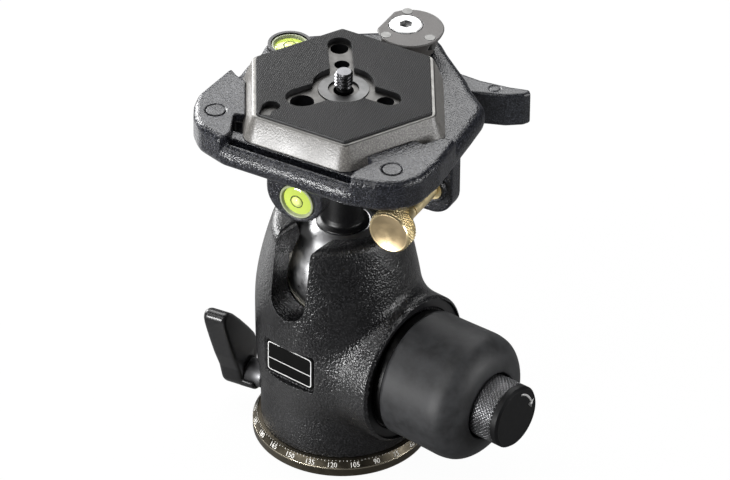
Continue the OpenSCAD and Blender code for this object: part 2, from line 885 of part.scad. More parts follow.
module hex_plate() {
    color([0.62, 0.61, 0.58])
        in_head()
            difference() {
                hex_frustum(0, seat_z, plate_z);
                // recess for the pad
                translate([0, 0, plate_z - 1.1])
                    linear_extrude(5)
                        pad_plan(0);
                // pocket for the screw's head, and the screw's bore
                ring(10, seat_z - 1, plate_z - 3.8);
                ring(screw_r + 0.325, seat_z - 3, plate_z + 8, $fn = 48);
                ring(8.7, plate_z - 1.5, plate_z + 3);
                plate_holes();
                // blind hole for the catch pin
                translate([catch_x, catch_y, 0])
                    ring(catch_r + 0.35, seat_z - 3, seat_z + 2.2, $fn = 48);
            }
}

// Hexagon of the pad, shrunk by gap.
module pad_plan(gap) {
    circle(r = (plate_top - 1.2 - gap) / cos(30), $fn = 6);
}

module plate_holes() {
    translate([-13.2, 20.6, 0])
        ring(3.1, seat_z - 3, plate_z + 8, $fn = 48);
    translate([-7.7, 12.6, 0])
        ring(2.6, seat_z - 3, plate_z + 8, $fn = 48);
    translate([-8.4, -13.6, 0])
        ring(4.1, seat_z - 3, plate_z + 8, $fn = 48);
    translate([16.0, 0.3, 0])
        ring(3.0, seat_z - 3, plate_z + 8, $fn = 48);
}

module rubber_pad() {
    color([0.13, 0.13, 0.14])
        in_head()
            translate([0, 0, plate_z - 1.1 + slip])
                linear_extrude(pad_z - plate_z + 1.1 - slip)
                    difference() {
                        pad_plan(slip);
                        // star-shaped window round the screw
                        circle(r = 10.6);
                        rotate(122.6) {
                            translate([0, -4.1])
                                square([24.4, 8.2]);
                            translate([24.4, 0])
                                circle(r = 4.1, $fn = 48);
                        }
                        rotate(-121.7) {
                            translate([0, -5.6])
                                square([16, 11.2]);
                            translate([16, 0])
                                circle(r = 5.6, $fn = 48);
                        }
                        translate([0, -3.7])
                            square([17.6, 8.0]);
                        translate([17.6, 0.3])
                            circle(r = 4.0, $fn = 48);
                        // notch at one corner
                        translate([-14.7, -23.3])
                            circle(r = 2.9, $fn = 48);
                        translate([-16.2, 1.2 - plate_top])
                            rotate(15)
                                square([4.0, 6.0]);
                    }
}

module screw_ring() {
    color([0.68, 0.68, 0.67])
        in_head()
            ring(8.65, plate_z - 1.48, plate_z - 0.7, 5.3);
}

module camera_screw() {
    color([0.55, 0.55, 0.56])
        in_head()
            difference() {
                union() {
                    ring(9.4, seat_z + 0.8, plate_z - 4.2);
                    // plain shank, narrower than the thread that it carries
                    rotate_extrude()
                        polygon([[0, plate_z - 5], [screw_r - 0.6, plate_z - 5],
                            [screw_r - 0.6, pad_z - 0.7],
                            [screw_r, pad_z - 0.2],
                            [screw_r, screw_tip_z - 0.5],
                            [screw_r - 0.5, screw_tip_z],
                            [0, screw_tip_z]]);
                }
                translate([-10, -0.8, seat_z - 0.3])
                    cube([20, 1.6, 2.6]);
            }
}

// ---- cam ----

module cam_disc() {
    color([0.58, 0.57, 0.56])
        in_head()
            difference() {
                intersection() {
                    translate([2.4, cam_y - 0.9, 0])
                        rotate_extrude()
                            polygon([[0, seat_z + 0.6],
                                [cam_r - plate_draft + 0.2, seat_z + 0.6],
                                [cam_r - 1, plate_z - 1.4],
                                [cam_r - 0.5, plate_z - 1.4],
                                [cam_r, plate_z - 0.4],
                                [cam_r - 0.3, plate_z], [0, plate_z]]);
                    translate([-7.2, 0, seat_z - 3])
                        cube([40, 2 * cam_y, plate_h + 11]);
                }
                translate([0, cam_y, 0]) {
                    ring(cam_shaft_r + slip, seat_z - 3, plate_z + 8);
                    ring(6.0, plate_z - 2.6, plate_z + 8);
                }
                cam_pin_spots(1.85);
            }
}

module cam_pin_spots(r) {
    for (p = [[-3.5, 7.5], [-2.8, -8.9], [11.0, -3.0]])
        translate([p[0], cam_y + p[1], 0])
            ring(r, plate_z - 4, plate_z + 3, $fn = 48);
}

module cam_pins() {
    color([0.78, 0.78, 0.78])
        in_head()
            intersection() {
                cam_pin_spots(1.8);
                ring(2 * cam_y, plate_z - 3.95, plate_z + 0.1);
            }
}

module cam_screw() {
    color([0.82, 0.82, 0.82])
        in_head()
            translate([0, cam_y, 0])
                difference() {
                    union() {
                        rotate_extrude()
                            polygon([[0, plate_z - 2.5], [3.0, plate_z - 2.5],
                                [5.5, plate_z - 0.3], [5.8, plate_z + 0.1],
                                [5.2, plate_z + 0.35], [0, plate_z + 0.35]]);
                        ring(1.9, plate_z - 14, plate_z - 2);
                    }
                    translate([0, 0, plate_z - 1.8])
                        cylinder(r = 2.4, h = 4, $fn = 6);
                }
}

module cam_shaft() {
    color([0.60, 0.60, 0.61])
        in_head()
            translate([0, cam_y, 0])
                ring(cam_shaft_r, cam_lever_z + 1, plate_z - 2.6, 1.9 + slip);
}

module cam_spring() {
    color([0.5, 0.5, 0.52])
        in_head()
            translate([0, cam_y, 0])
                for (k = [0 : 3])
                    translate([0, 0, body_z + 0.4 + 0.9 * k])
                        rotate_extrude()
                            translate([cam_shaft_r + 2.1, 0])
                                circle(r = 0.4, $fn = 24);
}

module cam_lever() {
    color([0.20, 0.21, 0.24])
        in_head()
            difference() {
                union() {
                    translate([0, cam_y, 0])
                        ring(9.2, cam_lever_z, body_z - 1);
                    translate([0, cam_y, cam_lever_z])
                        linear_extrude(13)
                            polygon([[0, -9.2], [7, -7.1], [18, -4.6],
                                [29.4, -0.6], [37.9, 2.5], [43.0, 6.1],
                                [44.3, 8.5], [43.0, 10.1], [36.3, 8.3],
                                [25.7, 6.9], [14, 7.5], [0, 9.2]]);
                }
                translate([0, cam_y, 0])
                    ring(cam_shaft_r + slip, cam_lever_z + 1 - eps, body_z + 5);
                translate([32.6, cam_y + 4.1, 0])
                    ring(1.5, body_z - 2.2, body_z + 5, $fn = 48);
            }
}

// ---- safety catch ----

module safety_knob() {
    color([0.75, 0.63, 0.39])
        in_head()
            translate([rod_x, -35, rod_z])
                rotate([-90, 0, 0])
                    difference() {
                        rotate_extrude()
                            polygon([[0, 0], [7.3, 0], [7.8, 0.5],
                                [7.8, 5.8], [7.2, 6.4], [5.0, 8.0],
                                [3.4, 10.5], [2.6, 13.5], [2.6, 15], [0, 15]]);
                        ring(stem_r + slip, 4, 30);
                    }
}

module plunger_sleeve() {
    color([0.72, 0.58, 0.30])
        in_head()
            difference() {
                translate([rod_x, 0, rod_z])
                    rotate([-90, 0, 0])
                        rotate_extrude()
                            polygon([[stem_r + run, -19.8], [2.6, -19.8],
                                [2.6, -5.2], [sleeve_r, -5.2], [sleeve_r, 3.0],
                                [rod_r + run, 3.0], [rod_r + run, -4.2],
                                [2.2, -4.2], [2.2, -19], [stem_r + run, -19]]);
                translate([catch_x, catch_y, 0])
                    ring(catch_r + run, rod_z, seat_z + 7, $fn = 48);
            }
}

module plunger_rod() {
    color([0.62, 0.62, 0.62])
        in_head()
            translate([rod_x, 0, rod_z])
                rotate([-90, 0, 0])
                    rotate_extrude()
                        polygon([[0, -30.9], [stem_r, -30.9],
                            [stem_r, catch_y - 2.0], [rod_r, catch_y - 2.0],
                            [rod_r, catch_y - 0.9],
                            [rod_r - catch_drop, catch_y - 0.9 + catch_pull],
                            [rod_r - catch_drop, 5.4], [0, 5.4]]);
}

module plunger_spring() {
    color([0.5, 0.5, 0.52])
        in_head()
            for (k = [0 : 4])
                translate([rod_x, -18.4 + 3.2 * k, rod_z])
                    rotate([90, 0, 0])
                        rotate_extrude()
                            translate([1.6, 0])
                                circle(r = 0.35, $fn = 24);
}

module catch_pin() {
    low = rod_z + rod_r + 0.25;
    color([0.66, 0.66, 0.66])
        in_head()
            translate([catch_x, catch_y, 0])
                rotate_extrude($fn = 48)
                    polygon([[0, low], [0.9, low], [catch_r, low + 0.8],
                        [catch_r, seat_z + 1.0],
                        [catch_r - 0.5, seat_z + 1.5],
                        [0, seat_z + 1.5]]);
}

// ---- drawing ----

base_ring();
pan_shaft();
base_screws();
pan_washer();
pan_retaining_ring();
housing();
housing_floor();
floor_screws();
hydraulic_block();
upper_seat();
label_plate();
boss_ring();
spindle_bush();
oil_plug();
pan_lock_lever();
pan_lock_hub();
pan_lock_cap();
pan_lock_spindle();
pan_brake_shoe();
knob_core();
knob_grip();
knob_grub_screws();
lock_spindle();
friction_knob();
friction_spindle();
friction_spring();
master_piston();
master_piston_seal();
brake_cup();
brake_piston();
brake_piston_seal();
ball_liner();
ball();
neck();
neck_stud();
qr_hub();
hub_bolts();
qr_body();
front_level_vial();
top_level_vial();
top_level_ring();
hex_plate();
rubber_pad();
screw_ring();
camera_screw();
cam_disc();
cam_pins();
cam_screw();
cam_shaft();
cam_spring();
cam_lever();
safety_knob();
plunger_sleeve();
plunger_rod();
plunger_spring();
catch_pin();
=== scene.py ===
"""Dressed model of a tripod ball head with a hexagonal quick-release plate."""

import logging
import math
from dataclasses import dataclass
from enum import Enum
from typing import Callable, Iterable, Optional, Sequence

import bmesh
import bpy
import numpy as np
from mathutils import Matrix, Vector


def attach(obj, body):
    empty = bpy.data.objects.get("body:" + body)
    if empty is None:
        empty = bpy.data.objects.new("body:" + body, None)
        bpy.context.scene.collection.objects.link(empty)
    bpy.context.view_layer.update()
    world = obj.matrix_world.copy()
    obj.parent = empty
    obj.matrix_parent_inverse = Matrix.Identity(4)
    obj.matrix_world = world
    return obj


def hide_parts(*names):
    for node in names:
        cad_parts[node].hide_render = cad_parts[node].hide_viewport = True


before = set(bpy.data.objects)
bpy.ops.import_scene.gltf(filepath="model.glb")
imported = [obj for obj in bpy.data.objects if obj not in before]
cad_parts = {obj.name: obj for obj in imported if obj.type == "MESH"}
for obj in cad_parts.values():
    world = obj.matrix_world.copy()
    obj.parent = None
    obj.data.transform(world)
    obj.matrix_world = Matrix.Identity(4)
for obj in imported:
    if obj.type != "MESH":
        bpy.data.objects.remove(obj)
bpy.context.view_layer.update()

LOG = logging.getLogger("ball_head")
MM = 0.001
QUARTER = math.pi / 2
Point2 = tuple[float, float]
Colour = tuple[float, float, float]
Piece = bpy.types.Object
Socket = bpy.types.NodeSocket

# Turn of the quick-release head about the pan axis, at rest.
HEAD_TURN = math.radians(9.5)
# Turn of the pan lock's axis from the left.
PAN_TURN = math.radians(12)
BALL_Z = 69.5
KNOB_Z = 38.5
# Corners of a rectangle as shares of its half sides.
CORNERS = ((-1, -1), (1, -1), (1, 1), (-1, 1))


class Axis(Enum):
    """Which way the axis of a turned piece points."""

    UP = "up"
    KNOB = "knob"
    FRONT = "front"
    PAN_LOCK = "pan_lock"

    def at(self, x: float = 0.0, y: float = 0.0, z: float = 0.0) -> Matrix:
        """Places a piece made about +Z onto this axis.

        Args:
            x: Where the piece's own origin goes, in millimetres.
            y: The same along Y.
            z: The same along Z.

        Returns:
            The matrix in millimetres.
        """
        turn = {
            Axis.UP: Matrix.Identity(4),
            Axis.KNOB: Matrix.Rotation(QUARTER, 4, "Y"),
            Axis.FRONT: Matrix.Rotation(QUARTER, 4, "X"),
            Axis.PAN_LOCK: Matrix.Rotation(math.pi + PAN_TURN, 4, "Z")
            @ Matrix.Rotation(QUARTER, 4, "Y"),
        }[self]
        return Matrix.Translation((x, y, z)) @ turn


def in_head(x: float = 0.0, y: float = 0.0, z: float = 0.0) -> Matrix:
    """Returns the matrix from a point of the head's own frame to the object's frame."""
    return Matrix.Rotation(HEAD_TURN, 4, "Z") @ Matrix.Translation((x, y, z))


KNOB_PLACE = Axis.KNOB.at(0, 0, KNOB_Z)
FRONT_PLACE = Axis.FRONT.at()


# ---------------------------------------------------------------- meshes


def new_mesh(
    name: str,
    verts: Iterable[Sequence[float]],
    faces: Iterable[Sequence[int]],
    place: Optional[Matrix] = None,
) -> Piece:
    """Makes a smooth-shaded mesh object from millimetre data.

    Args:
        name: Name of the object.
        verts: Corner positions in millimetres.
        faces: Corner indices of each face.
        place: Matrix applied to the corners, in millimetres.

    Returns:
        The new object, linked to the scene, in metres.
    """
    mesh = bpy.data.meshes.new(name)
    mesh.from_pydata([tuple(v) for v in verts], [], [tuple(f) for f in faces])
    if place is not None:
        mesh.transform(place)
    mesh.transform(Matrix.Scale(MM, 4))
    mesh.validate()
    piece = bpy.data.objects.new(name, mesh)
    bpy.context.scene.collection.objects.link(piece)
    mesh.shade_smooth()
    return piece


def modify(piece: Piece, kind: str, **settings: object) -> Piece:
    """Works a modifier into a piece's mesh.

    Args:
        piece: The piece.
        kind: Blender's type of the modifier.
        settings: The modifier's settings.

    Returns:
        The piece.
    """
    modifier = piece.modifiers.new(kind, kind)
    for key, value in settings.items():
        setattr(modifier, key, value)
    bpy.context.view_layer.update()
    graph = bpy.context.evaluated_depsgraph_get()
    mesh = bpy.data.meshes.new_from_object(piece.evaluated_get(graph))
    old = piece.data
    piece.modifiers.clear()
    piece.data = mesh
    bpy.data.meshes.remove(old)
    return piece


def discard(piece: Piece) -> None:
    """Removes a helper object and its mesh.

    Args:
        piece: The helper.
    """
    mesh = piece.data
    bpy.data.objects.remove(piece)
    bpy.data.meshes.remove(mesh)


def join(pieces: Sequence[Piece]) -> Piece:
    """Puts several meshes into the first of them.

    Args:
        pieces: The pieces, of which all but the first are used up.

    Returns:
        The first piece.
    """
    whole = bmesh.new()
    for piece in pieces:
        whole.from_mesh(piece.data)
    whole.to_mesh(pieces[0].data)
    whole.free()
    for piece in pieces[1:]:
        discard(piece)
    pieces[0].data.shade_smooth()
    return pieces[0]


def combine(piece: Piece, operation: str, *tools: Piece) -> Piece:
    """Cuts or adds each tool to a piece, one after the other.

    Args:
        piece: The piece to work on.
        operation: DIFFERENCE, UNION or INTERSECT.
        tools: Closed meshes, which are used up.

    Returns:
        The piece, with its new mesh.
    """
    for tool in tools:
        modify(piece, "BOOLEAN", operation=operation, solver="EXACT", object=tool)
        discard(tool)
    return piece


def soften(piece: Piece, voxel: float, rounds: int) -> Piece:
    """Rounds all edges of a closed mesh, like a casting under its coat.

    Args:
        piece: The closed mesh.
        voxel: Grid size in millimetres.
        rounds: Number of smoothing rounds.

    Returns:
        The piece, remeshed.
    """
    size = voxel * MM * 1.0
    modify(piece, "REMESH", mode="VOXEL", voxel_size=size, adaptivity=0.0)
    modify(piece, "SMOOTH", factor=0.5, iterations=rounds)
    piece.data.shade_smooth()
    return piece


def slim(piece: Piece, ratio: float) -> None:
    """Thins out a dense mesh to a share of its faces."""
    modify(piece, "DECIMATE", ratio=ratio)
    piece.data.shade_smooth()


def polar(radius: float, degrees: float) -> Point2:
    """Returns the point at a radius and an angle."""
    a = math.radians(degrees)
    return radius * math.cos(a), radius * math.sin(a)


def arc(
    radius: float, start: float, end: float, steps: int, x: float = 0.0, y: float = 0.0
) -> list[Point2]:
    """Draws an arc.

    Args:
        radius: Its radius.
        start: Its first angle in degrees.
        end: Its last angle in degrees.
        steps: Number of segments.
        x: Its centre.
        y: Its centre.

    Returns:
        The points, both ends included.
    """
    spots = (polar(radius, start + (end - start) * k / steps) for k in range(steps + 1))
    return [(x + right, y + up) for right, up in spots]


def fillet(points: Sequence[Sequence[float]], closed: bool, steps: int = 6) -> list[Point2]:
    """Rounds the corners of a flat outline.

    Args:
        points: Corners as (x, y) or (x, y, radius).
        closed: Whether the outline is a loop.
        steps: Number of segments in each rounded corner.

    Returns:
        The outline as plain points.
    """
    out: list[Point2] = []
    count = len(points)
    for i, point in enumerate(points):
        here = Vector(point[:2])
        radius = point[2] if len(point) > 2 else 0.0
        if radius <= 0 or (not closed and i in (0, count - 1)):
            out.append((here.x, here.y))
            continue
        before = Vector(points[i - 1][:2]) - here
        after = Vector(points[(i + 1) % count][:2]) - here
        wanted = radius / math.tan(before.angle(after) / 2)
        reach = min(wanted, before.length * 0.49, after.length * 0.49)
        start, end = here + before.normalized() * reach, here + after.normalized() * reach
        for k in range(steps + 1):
            t = k / steps
            spot = start.lerp(here, t).lerp(here.lerp(end, t), t)
            out.append((spot.x, spot.y))
    return out


def lathe(
    name: str,
    profile: Sequence[Sequence[float]],
    place: Optional[Matrix] = None,
    segments: int = 128,
) -> Piece:
    """Turns a profile about +Z.

    Args:
        name: Name of the piece.
        profile: Open line of (radius, height) or (radius, height, rounding).
        place: Where the piece goes, in millimetres.
        segments: Number of segments round the axis.

    Returns:
        The turned piece. A profile that ends on the axis closes there.
    """
    verts: list[tuple[float, float, float]] = []
    rings: list[list[int]] = []
    for radius, height in fillet(profile, closed=False):
        if radius < 1e-6:
            rings.append([len(verts)] * segments)
            verts.append((0, 0, height))
            continue
        rings.append(list(range(len(verts), len(verts) + segments)))
        for k in range(segments):
            a = 2 * math.pi * k / segments
            verts.append((radius * math.cos(a), radius * math.sin(a), height))
    faces = []
    for low, high in zip(rings, rings[1:]):
        for k in range(segments):
            n = (k + 1) % segments
            face = [low[k], low[n], high[n], high[k]]
            face = [v for i, v in enumerate(face) if v != face[i - 1]]
            if len(face) > 2:
                faces.append(face)
    return new_mesh(name, verts, faces, place)


def walls(layers: int, count: int) -> list[tuple[int, ...]]:
    """Joins stacked loops of corners by faces.

    Args:
        layers: Number of gaps between the loops.
        count: Number of corners in each loop.

    Returns:
        The faces.
    """
    return [
        (o + i, o + (i + 1) % count, o + count + (i + 1) % count, o + count + i)
        for o in range(0, layers * count, count)
        for i in range(count)
    ]


def facing(outline: Sequence[Point2]) -> list[Point2]:
    """Turns an outline counter-clockwise.

    Args:
        outline: Loop of points.

    Returns:
        The loop, reversed where it ran the other way.
    """
    after = [*outline[1:], outline[0]]
    area = sum(a[0] * b[1] - b[0] * a[1] for a, b in zip(outline, after))
    return list(outline) if area > 0 else list(outline)[::-1]


def prism(
    name: str, outline: Sequence[Point2], low: float, high: float, place: Optional[Matrix] = None
) -> Piece:
    """Raises a flat outline into a solid.

    Args:
        name: Name of the piece.
        outline: Loop of points.
        low: Height of the underside.
        high: Height of the top.
        place: Where the piece goes, in millimetres.

    Returns:
        The solid.
    """
    base, n = facing(outline), len(outline)
    verts = [(x, y, height) for height in (low, high) for x, y in base]
    return new_mesh(name, verts, [range(n)[::-1], range(n, 2 * n), *walls(1, n)], place)


def block(low: Sequence[float], high: Sequence[float], place: Optional[Matrix] = None) -> Piece:
    """Makes a box-shaped tool between two corners, in millimetres, and returns it."""
    outline = [(low[0], low[1]), (high[0], low[1]), (high[0], high[1]), (low[0], high[1])]
    return prism("tool", outline, low[2], high[2], place)


def rod(
    radius: float, low: float, high: float, place: Optional[Matrix] = None, segments: int = 64
) -> Piece:
    """Makes a round tool.

    Args:
        radius: Its radius.
        low: Its start along the axis.
        high: Its end along the axis.
        place: Where it goes, in millimetres.
        segments: Number of segments round the axis.

    Returns:
        The closed cylinder.
    """
    return lathe("tool", [(0, low), (radius, low), (radius, high), (0, high)], place, segments)


def bore(x: float, y: float, radius: float, low: float, high: float) -> Piece:
    """Makes the tool of an upright bore of the head and returns it."""
    return rod(radius, low, high, in_head(x, y))


def inset(outline: Sequence[Point2], amount: float) -> list[Point2]:
    """Moves a counter-clockwise outline inward.

    Args:
        outline: Loop of points.
        amount: Distance in millimetres.

    Returns:
        The moved loop, with as many points.
    """
    points = [Vector(p) for p in outline]
    out = []
    for i, here in enumerate(points):
        before = (here - points[i - 1]).normalized()
        after = (points[(i + 1) % len(points)] - here).normalized()
        mean = (before + after).normalized()
        shift = amount / max(0.4, mean.dot(before))
        out.append((here.x - mean.y * shift, here.y + mean.x * shift))
    return out


def pillow(
    name: str,
    outline: Sequence[Point2],
    low: float,
    high: float,
    top: float = 0.0,
    bottom: float = 0.0,
    place: Optional[Matrix] = None,
    taper: float = 0.0,
) -> Piece:
    """Raises an outline into a solid with rounded upper and lower edges.

    Args:
        name: Name of the piece.
        outline: Loop of points.
        low: Height of the underside.
        high: Height of the top.
        top: Radius of the upper edge.
        bottom: Radius of the lower edge.
        place: Where the piece goes, in millimetres.
        taper: How far the sides lean in from bottom to top.

    Returns:
        The solid.
    """
    base, bend = facing(outline), arc(1.0, 0, 90, 5)
    layers = [(bottom * (1 - s), low + bottom * (1 - c)) for c, s in bend[: 6 if bottom else 1]]
    layers += [(top * (1 - c), high - top * (1 - s)) for c, s in bend[: 6 if top else 1]]
    verts: list[tuple[float, float, float]] = []
    for shrink, height in layers:
        lean = taper * (height - low) / (high - low)
        verts += [(x, y, height) for x, y in inset(base, shrink + lean)]
    count, gaps = len(base), len(layers) - 1
    lid = range(gaps * count, (gaps + 1) * count)
    return new_mesh(name, verts, [range(count)[::-1], *walls(gaps, count), lid], place)


def even(points: Sequence[Point2], step: float, blur: int) -> list[Point2]:
    """Redraws an open line with even steps and soft bends.

    Args:
        points: Corners of the line.
        step: Distance between the new points.
        blur: Number of averaging rounds.

    Returns:
        The new line, with the same ends.
    """
    line = np.array(points, float)
    length = np.concatenate([[0], np.cumsum(np.hypot(*np.diff(line, axis=0).T))])
    at = np.linspace(0, length[-1], max(3, int(length[-1] / step)))
    out = np.stack([np.interp(at, length, line[:, k]) for k in (0, 1)], axis=1)
    for _ in range(blur):
        out[1:-1] = (out[:-2] + 2 * out[1:-1] + out[2:]) / 4
    return [(float(r), float(z)) for r, z in out]


def knurl(
    name: str, radius: float, depth: float, low: float, high: float, teeth: int, place: Matrix
) -> Piece:
    """Makes a band with a crossed diamond knurl.

    Args:
        name: Name of the piece.
        radius: Radius at the bottom of the knurl.
        depth: Height of the diamonds.
        low: Start of the band along the axis.
        high: End of the band.
        teeth: Number of diamonds round the band.
        place: Where the band goes, in millimetres.

    Returns:
        The band, open at both ends.
    """
    fine = 12
    around, pitch = teeth * fine, 2 * math.pi * radius / teeth
    along = max(8, int((high - low) / pitch * fine))
    verts = []
    for j in range(along + 1):
        z = low + (high - low) * j / along
        fade = min(1.0, 4 * min(z - low, high - z) / pitch)
        for i in range(around):
            a = 2 * math.pi * i / around
            u, v = teeth * a / 2, math.pi * (z - low) / pitch
            ridge = min(abs(math.sin(u + v)), abs(math.sin(u - v)))
            r = radius + depth * min(1.0, 1.6 * ridge) * fade
            verts.append((r * math.cos(a), r * math.sin(a), z))
    return new_mesh(name, verts, walls(along, around), place)


@dataclass
class Turned:
    """A turned form that can say how far a point lies from its surface.

    Attributes:
        profile: Line of (radius, height), open on the axis side.
        place: Where the form stands, in millimetres.
        rounding: Radius added round the profile.
    """

    profile: Sequence[Point2]
    place: Matrix
    rounding: float = 0.0

    def distance(self, points: np.ndarray) -> np.ndarray:
        """Measures the distance to the surface, negative inside.

        Args:
            points: Positions in millimetres, one row each.

        Returns:
            One distance for each point.
        """
        inverse = np.array(self.place.inverted())
        local = points @ inverse[:3, :3].T + inverse[:3, 3]
        radius, height = np.hypot(local[:, 0], local[:, 1]), local[:, 2]
        near = np.full(radius.shape, 1e9)
        inside = np.zeros(radius.shape, bool)
        for (r0, z0), (r1, z1) in zip(self.profile, self.profile[1:]):
            dr, dz = r1 - r0, z1 - z0
            t = ((radius - r0) * dr + (height - z0) * dz) / (dr * dr + dz * dz)
            t = np.clip(t, 0, 1)
            near = np.minimum(near, np.hypot(radius - r0 - t * dr, height - z0 - t * dz))
            if dz:
                crossing = (z0 > height) != (z1 > height)
                inside ^= crossing & (radius < r0 + (height - z0) * dr / dz)
        return np.where(inside, -near, near) - self.rounding

    def mesh(self, name: str) -> Piece:
        """Makes the closed solid of the form, without its rounding."""
        ends = [(0.0, self.profile[0][1]), *self.profile, (0.0, self.profile[-1][1])]
        return lathe(name, ends, self.place, 96)


def melt(first: np.ndarray, second: np.ndarray, width: float) -> np.ndarray:
    """Joins two distance fields with a soft fillet of the given width."""
    share = np.maximum(width - np.abs(first - second), 0) / width
    return np.minimum(first, second) - share * share * width / 4


def settle(piece: Piece, field_of: Callable[[np.ndarray], np.ndarray], rounds: int = 3) -> None:
    """Moves each corner of a mesh onto the surface of a distance field.

    Args:
        piece: The mesh, which lies close to the surface already.
        field_of: Gives the distance for rows of positions in millimetres.
        rounds: Number of steps.
    """
    flat = np.empty(len(piece.data.vertices) * 3, np.float32)
    piece.data.vertices.foreach_get("co", flat)
    points = flat.reshape(-1, 3).astype(float) / MM
    nudge = 0.05
    for _ in range(rounds):
        value = field_of(points)
        rise = [(field_of(points + step) - value) / nudge for step in np.eye(3) * nudge]
        slope = np.stack(rise, axis=1)
        size = np.maximum((slope**2).sum(axis=1), 0.2)
        points -= slope * (value / size)[:, None]
    piece.data.vertices.foreach_set("co", (points * MM).astype(np.float32).ravel())
    piece.data.update()


# ------------------------------------------------------------- materials


class Nodes:
    """The node tree of a material or a world, with a few shorthands."""

    def __init__(self, owner: bpy.types.ID, clear: bool = True) -> None:
        """Opens the tree.

        Args:
            owner: The material or world.
            clear: Whether its first nodes go.
        """
        owner.use_nodes = True
        self.tree = owner.node_tree
        if clear:
            self.tree.nodes.clear()

    def put(self, socket: Socket, value: object) -> None:
        """Links a socket into an input, or sets its value.

        Args:
            socket: The input.
            value: A socket, or a value, which for a colour may be three numbers.
        """
        if isinstance(value, Socket):
            self.tree.links.new(value, socket)
        elif socket.type == "RGBA":
            socket.default_value = (*value[:3], 1.0)
        else:
            socket.default_value = value

    def node(self, kind: str, **inputs: object) -> bpy.types.Node:
        """Adds a node and sets or links its inputs.

        Args:
            kind: Blender's name of the node, without its first two words.
            inputs: Values or sockets by input name, with _ for a space.

        Returns:
            The node.
        """
        made = self.tree.nodes.new("ShaderNode" + kind)
        for key, value in inputs.items():
            self.put(made.inputs[key.replace("_", " ")], value)
        return made

    def feed(self, kind: str, *values: object, out: object = 0, operation: str = "") -> Socket:
        """Adds a node and feeds its inputs in their order.

        Args:
            kind: Blender's name of the node, without its first two words.
            values: Values or sockets.
            out: Name or number of the output that is wanted.
            operation: What a math node does.

        Returns:
            The output.
        """
        made = self.node(kind)
        if operation:
            made.operation = operation
        for socket, value in zip(made.inputs, values):
            self.put(socket, value)
        return made.outputs[out]

    def math(self, operation: str, *values: object) -> Socket:
        """Adds a math node and returns its output."""
        return self.feed("Math", *values, operation=operation)

    def remap(
        self, value: object, low: float, high: float, to_low: float = 0.0, to_high: float = 1.0,
        curve: str = "LINEAR",
    ) -> Socket:
        """Maps one range of values to another.

        Args:
            value: The value.
            low: Start of its range.
            high: End of its range.
            to_low: What the start becomes.
            to_high: What the end becomes.
            curve: How the values between them run.

        Returns:
            The mapped value.
        """
        made = self.node(
            "MapRange", Value=value, From_Min=low, From_Max=high, To_Min=to_low, To_Max=to_high)
        made.interpolation_type = curve
        return made.outputs["Result"]


class Shader(Nodes):
    """A Principled material."""

    def __init__(self, name: str) -> None:
        """Makes an empty Principled material.

        Args:
            name: Name of the material.
        """
        self.material = bpy.data.materials.new(name)
        super().__init__(self.material, clear=False)
        self.shader = self.tree.nodes["Principled BSDF"]
        self.coords = self.node("TexCoord").outputs["Object"]

    def set(self, **values: object) -> bpy.types.Material:
        """Sets or links inputs of the Principled shader.

        Args:
            values: Values or sockets by input name, with _ for a space.

        Returns:
            The material.
        """
        for key, value in values.items():
            self.put(self.shader.inputs[key.replace("_", " ")], value)
        return self.material

    def noise(self, scale: float, detail: float = 3.0, rough: float = 0.5) -> Socket:
        """Adds noise in object space.

        Args:
            scale: Features per metre.
            detail: Number of octaves.
            rough: Roughness of the octaves.

        Returns:
            The noise, from 0 to 1.
        """
        made = self.node(
            "TexNoise", Scale=scale, Detail=detail, Roughness=rough, Vector=self.coords)
        return made.outputs["Fac"]

    def blend(self, share: object, first: object, second: object) -> Socket:
        """Mixes two colours.

        Args:
            share: Share of the second colour, from 0 to 1.
            first: The first colour.
            second: The second colour.

        Returns:
            The mixed colour.
        """
        made = self.node("Mix")
        made.data_type = "RGBA"
        for socket, value in zip((made.inputs[k] for k in (0, 6, 7)), (share, first, second)):
            self.put(socket, value)
        return made.outputs[2]

    def bump(self, height: object, depth: float, normal: Socket) -> Socket:
        """Adds a bump.

        Args:
            height: Height value from 0 to 1.
            depth: Depth of the relief in millimetres.
            normal: Normal that it builds on.

        Returns:
            The bumped normal.
        """
        made = self.node(
            "Bump", Height=height, Strength=1.0, Distance=depth * MM, Normal=normal)
        return made.outputs["Normal"]

    def soft_edges(self, radius: float) -> Socket:
        """Rounds the shading at edges.

        Args:
            radius: Radius of the rounding in millimetres.

        Returns:
            The rounded normal.
        """
        made = self.node("Bevel", Radius=radius * MM)
        made.samples = 4
        return made.outputs["Normal"]

    def edge_mask(self, radius: float) -> Socket:
        """Finds the edges.

        Args:
            radius: How far an edge reaches, in millimetres.

        Returns:
            1 near edges and 0 elsewhere.
        """
        plain = self.node("NewGeometry").outputs["Normal"]
        dot = self.feed(
            "VectorMath", self.soft_edges(radius), plain, out="Value", operation="DOT_PRODUCT")
        return self.remap(dot, 0.72, 0.97, 1.0, 0.0)

    def radial(self, place: Matrix) -> Socket:
        """Measures the distance from an axis, for turning marks.

        Args:
            place: Matrix of the axis, in millimetres.

        Returns:
            Distance from the axis in metres.
        """
        inverse = place.copy()
        inverse.translation = inverse.translation * MM
        inverse = inverse.inverted()
        moved = self.node(
            "Mapping", Vector=self.coords, Location=inverse.translation,
            Rotation=inverse.to_euler())
        parts = self.node("SeparateXYZ", Vector=moved.outputs[0])
        squares = [self.math("MULTIPLY", parts.outputs[k], parts.outputs[k]) for k in "XY"]
        return self.math("SQRT", self.math("ADD", *squares))


def scaled(colour: Colour, factor: float, lift: float = 0.0) -> Colour:
    """Makes a colour lighter or darker and returns it."""
    return tuple(min(1.0, c * factor + lift) for c in colour)


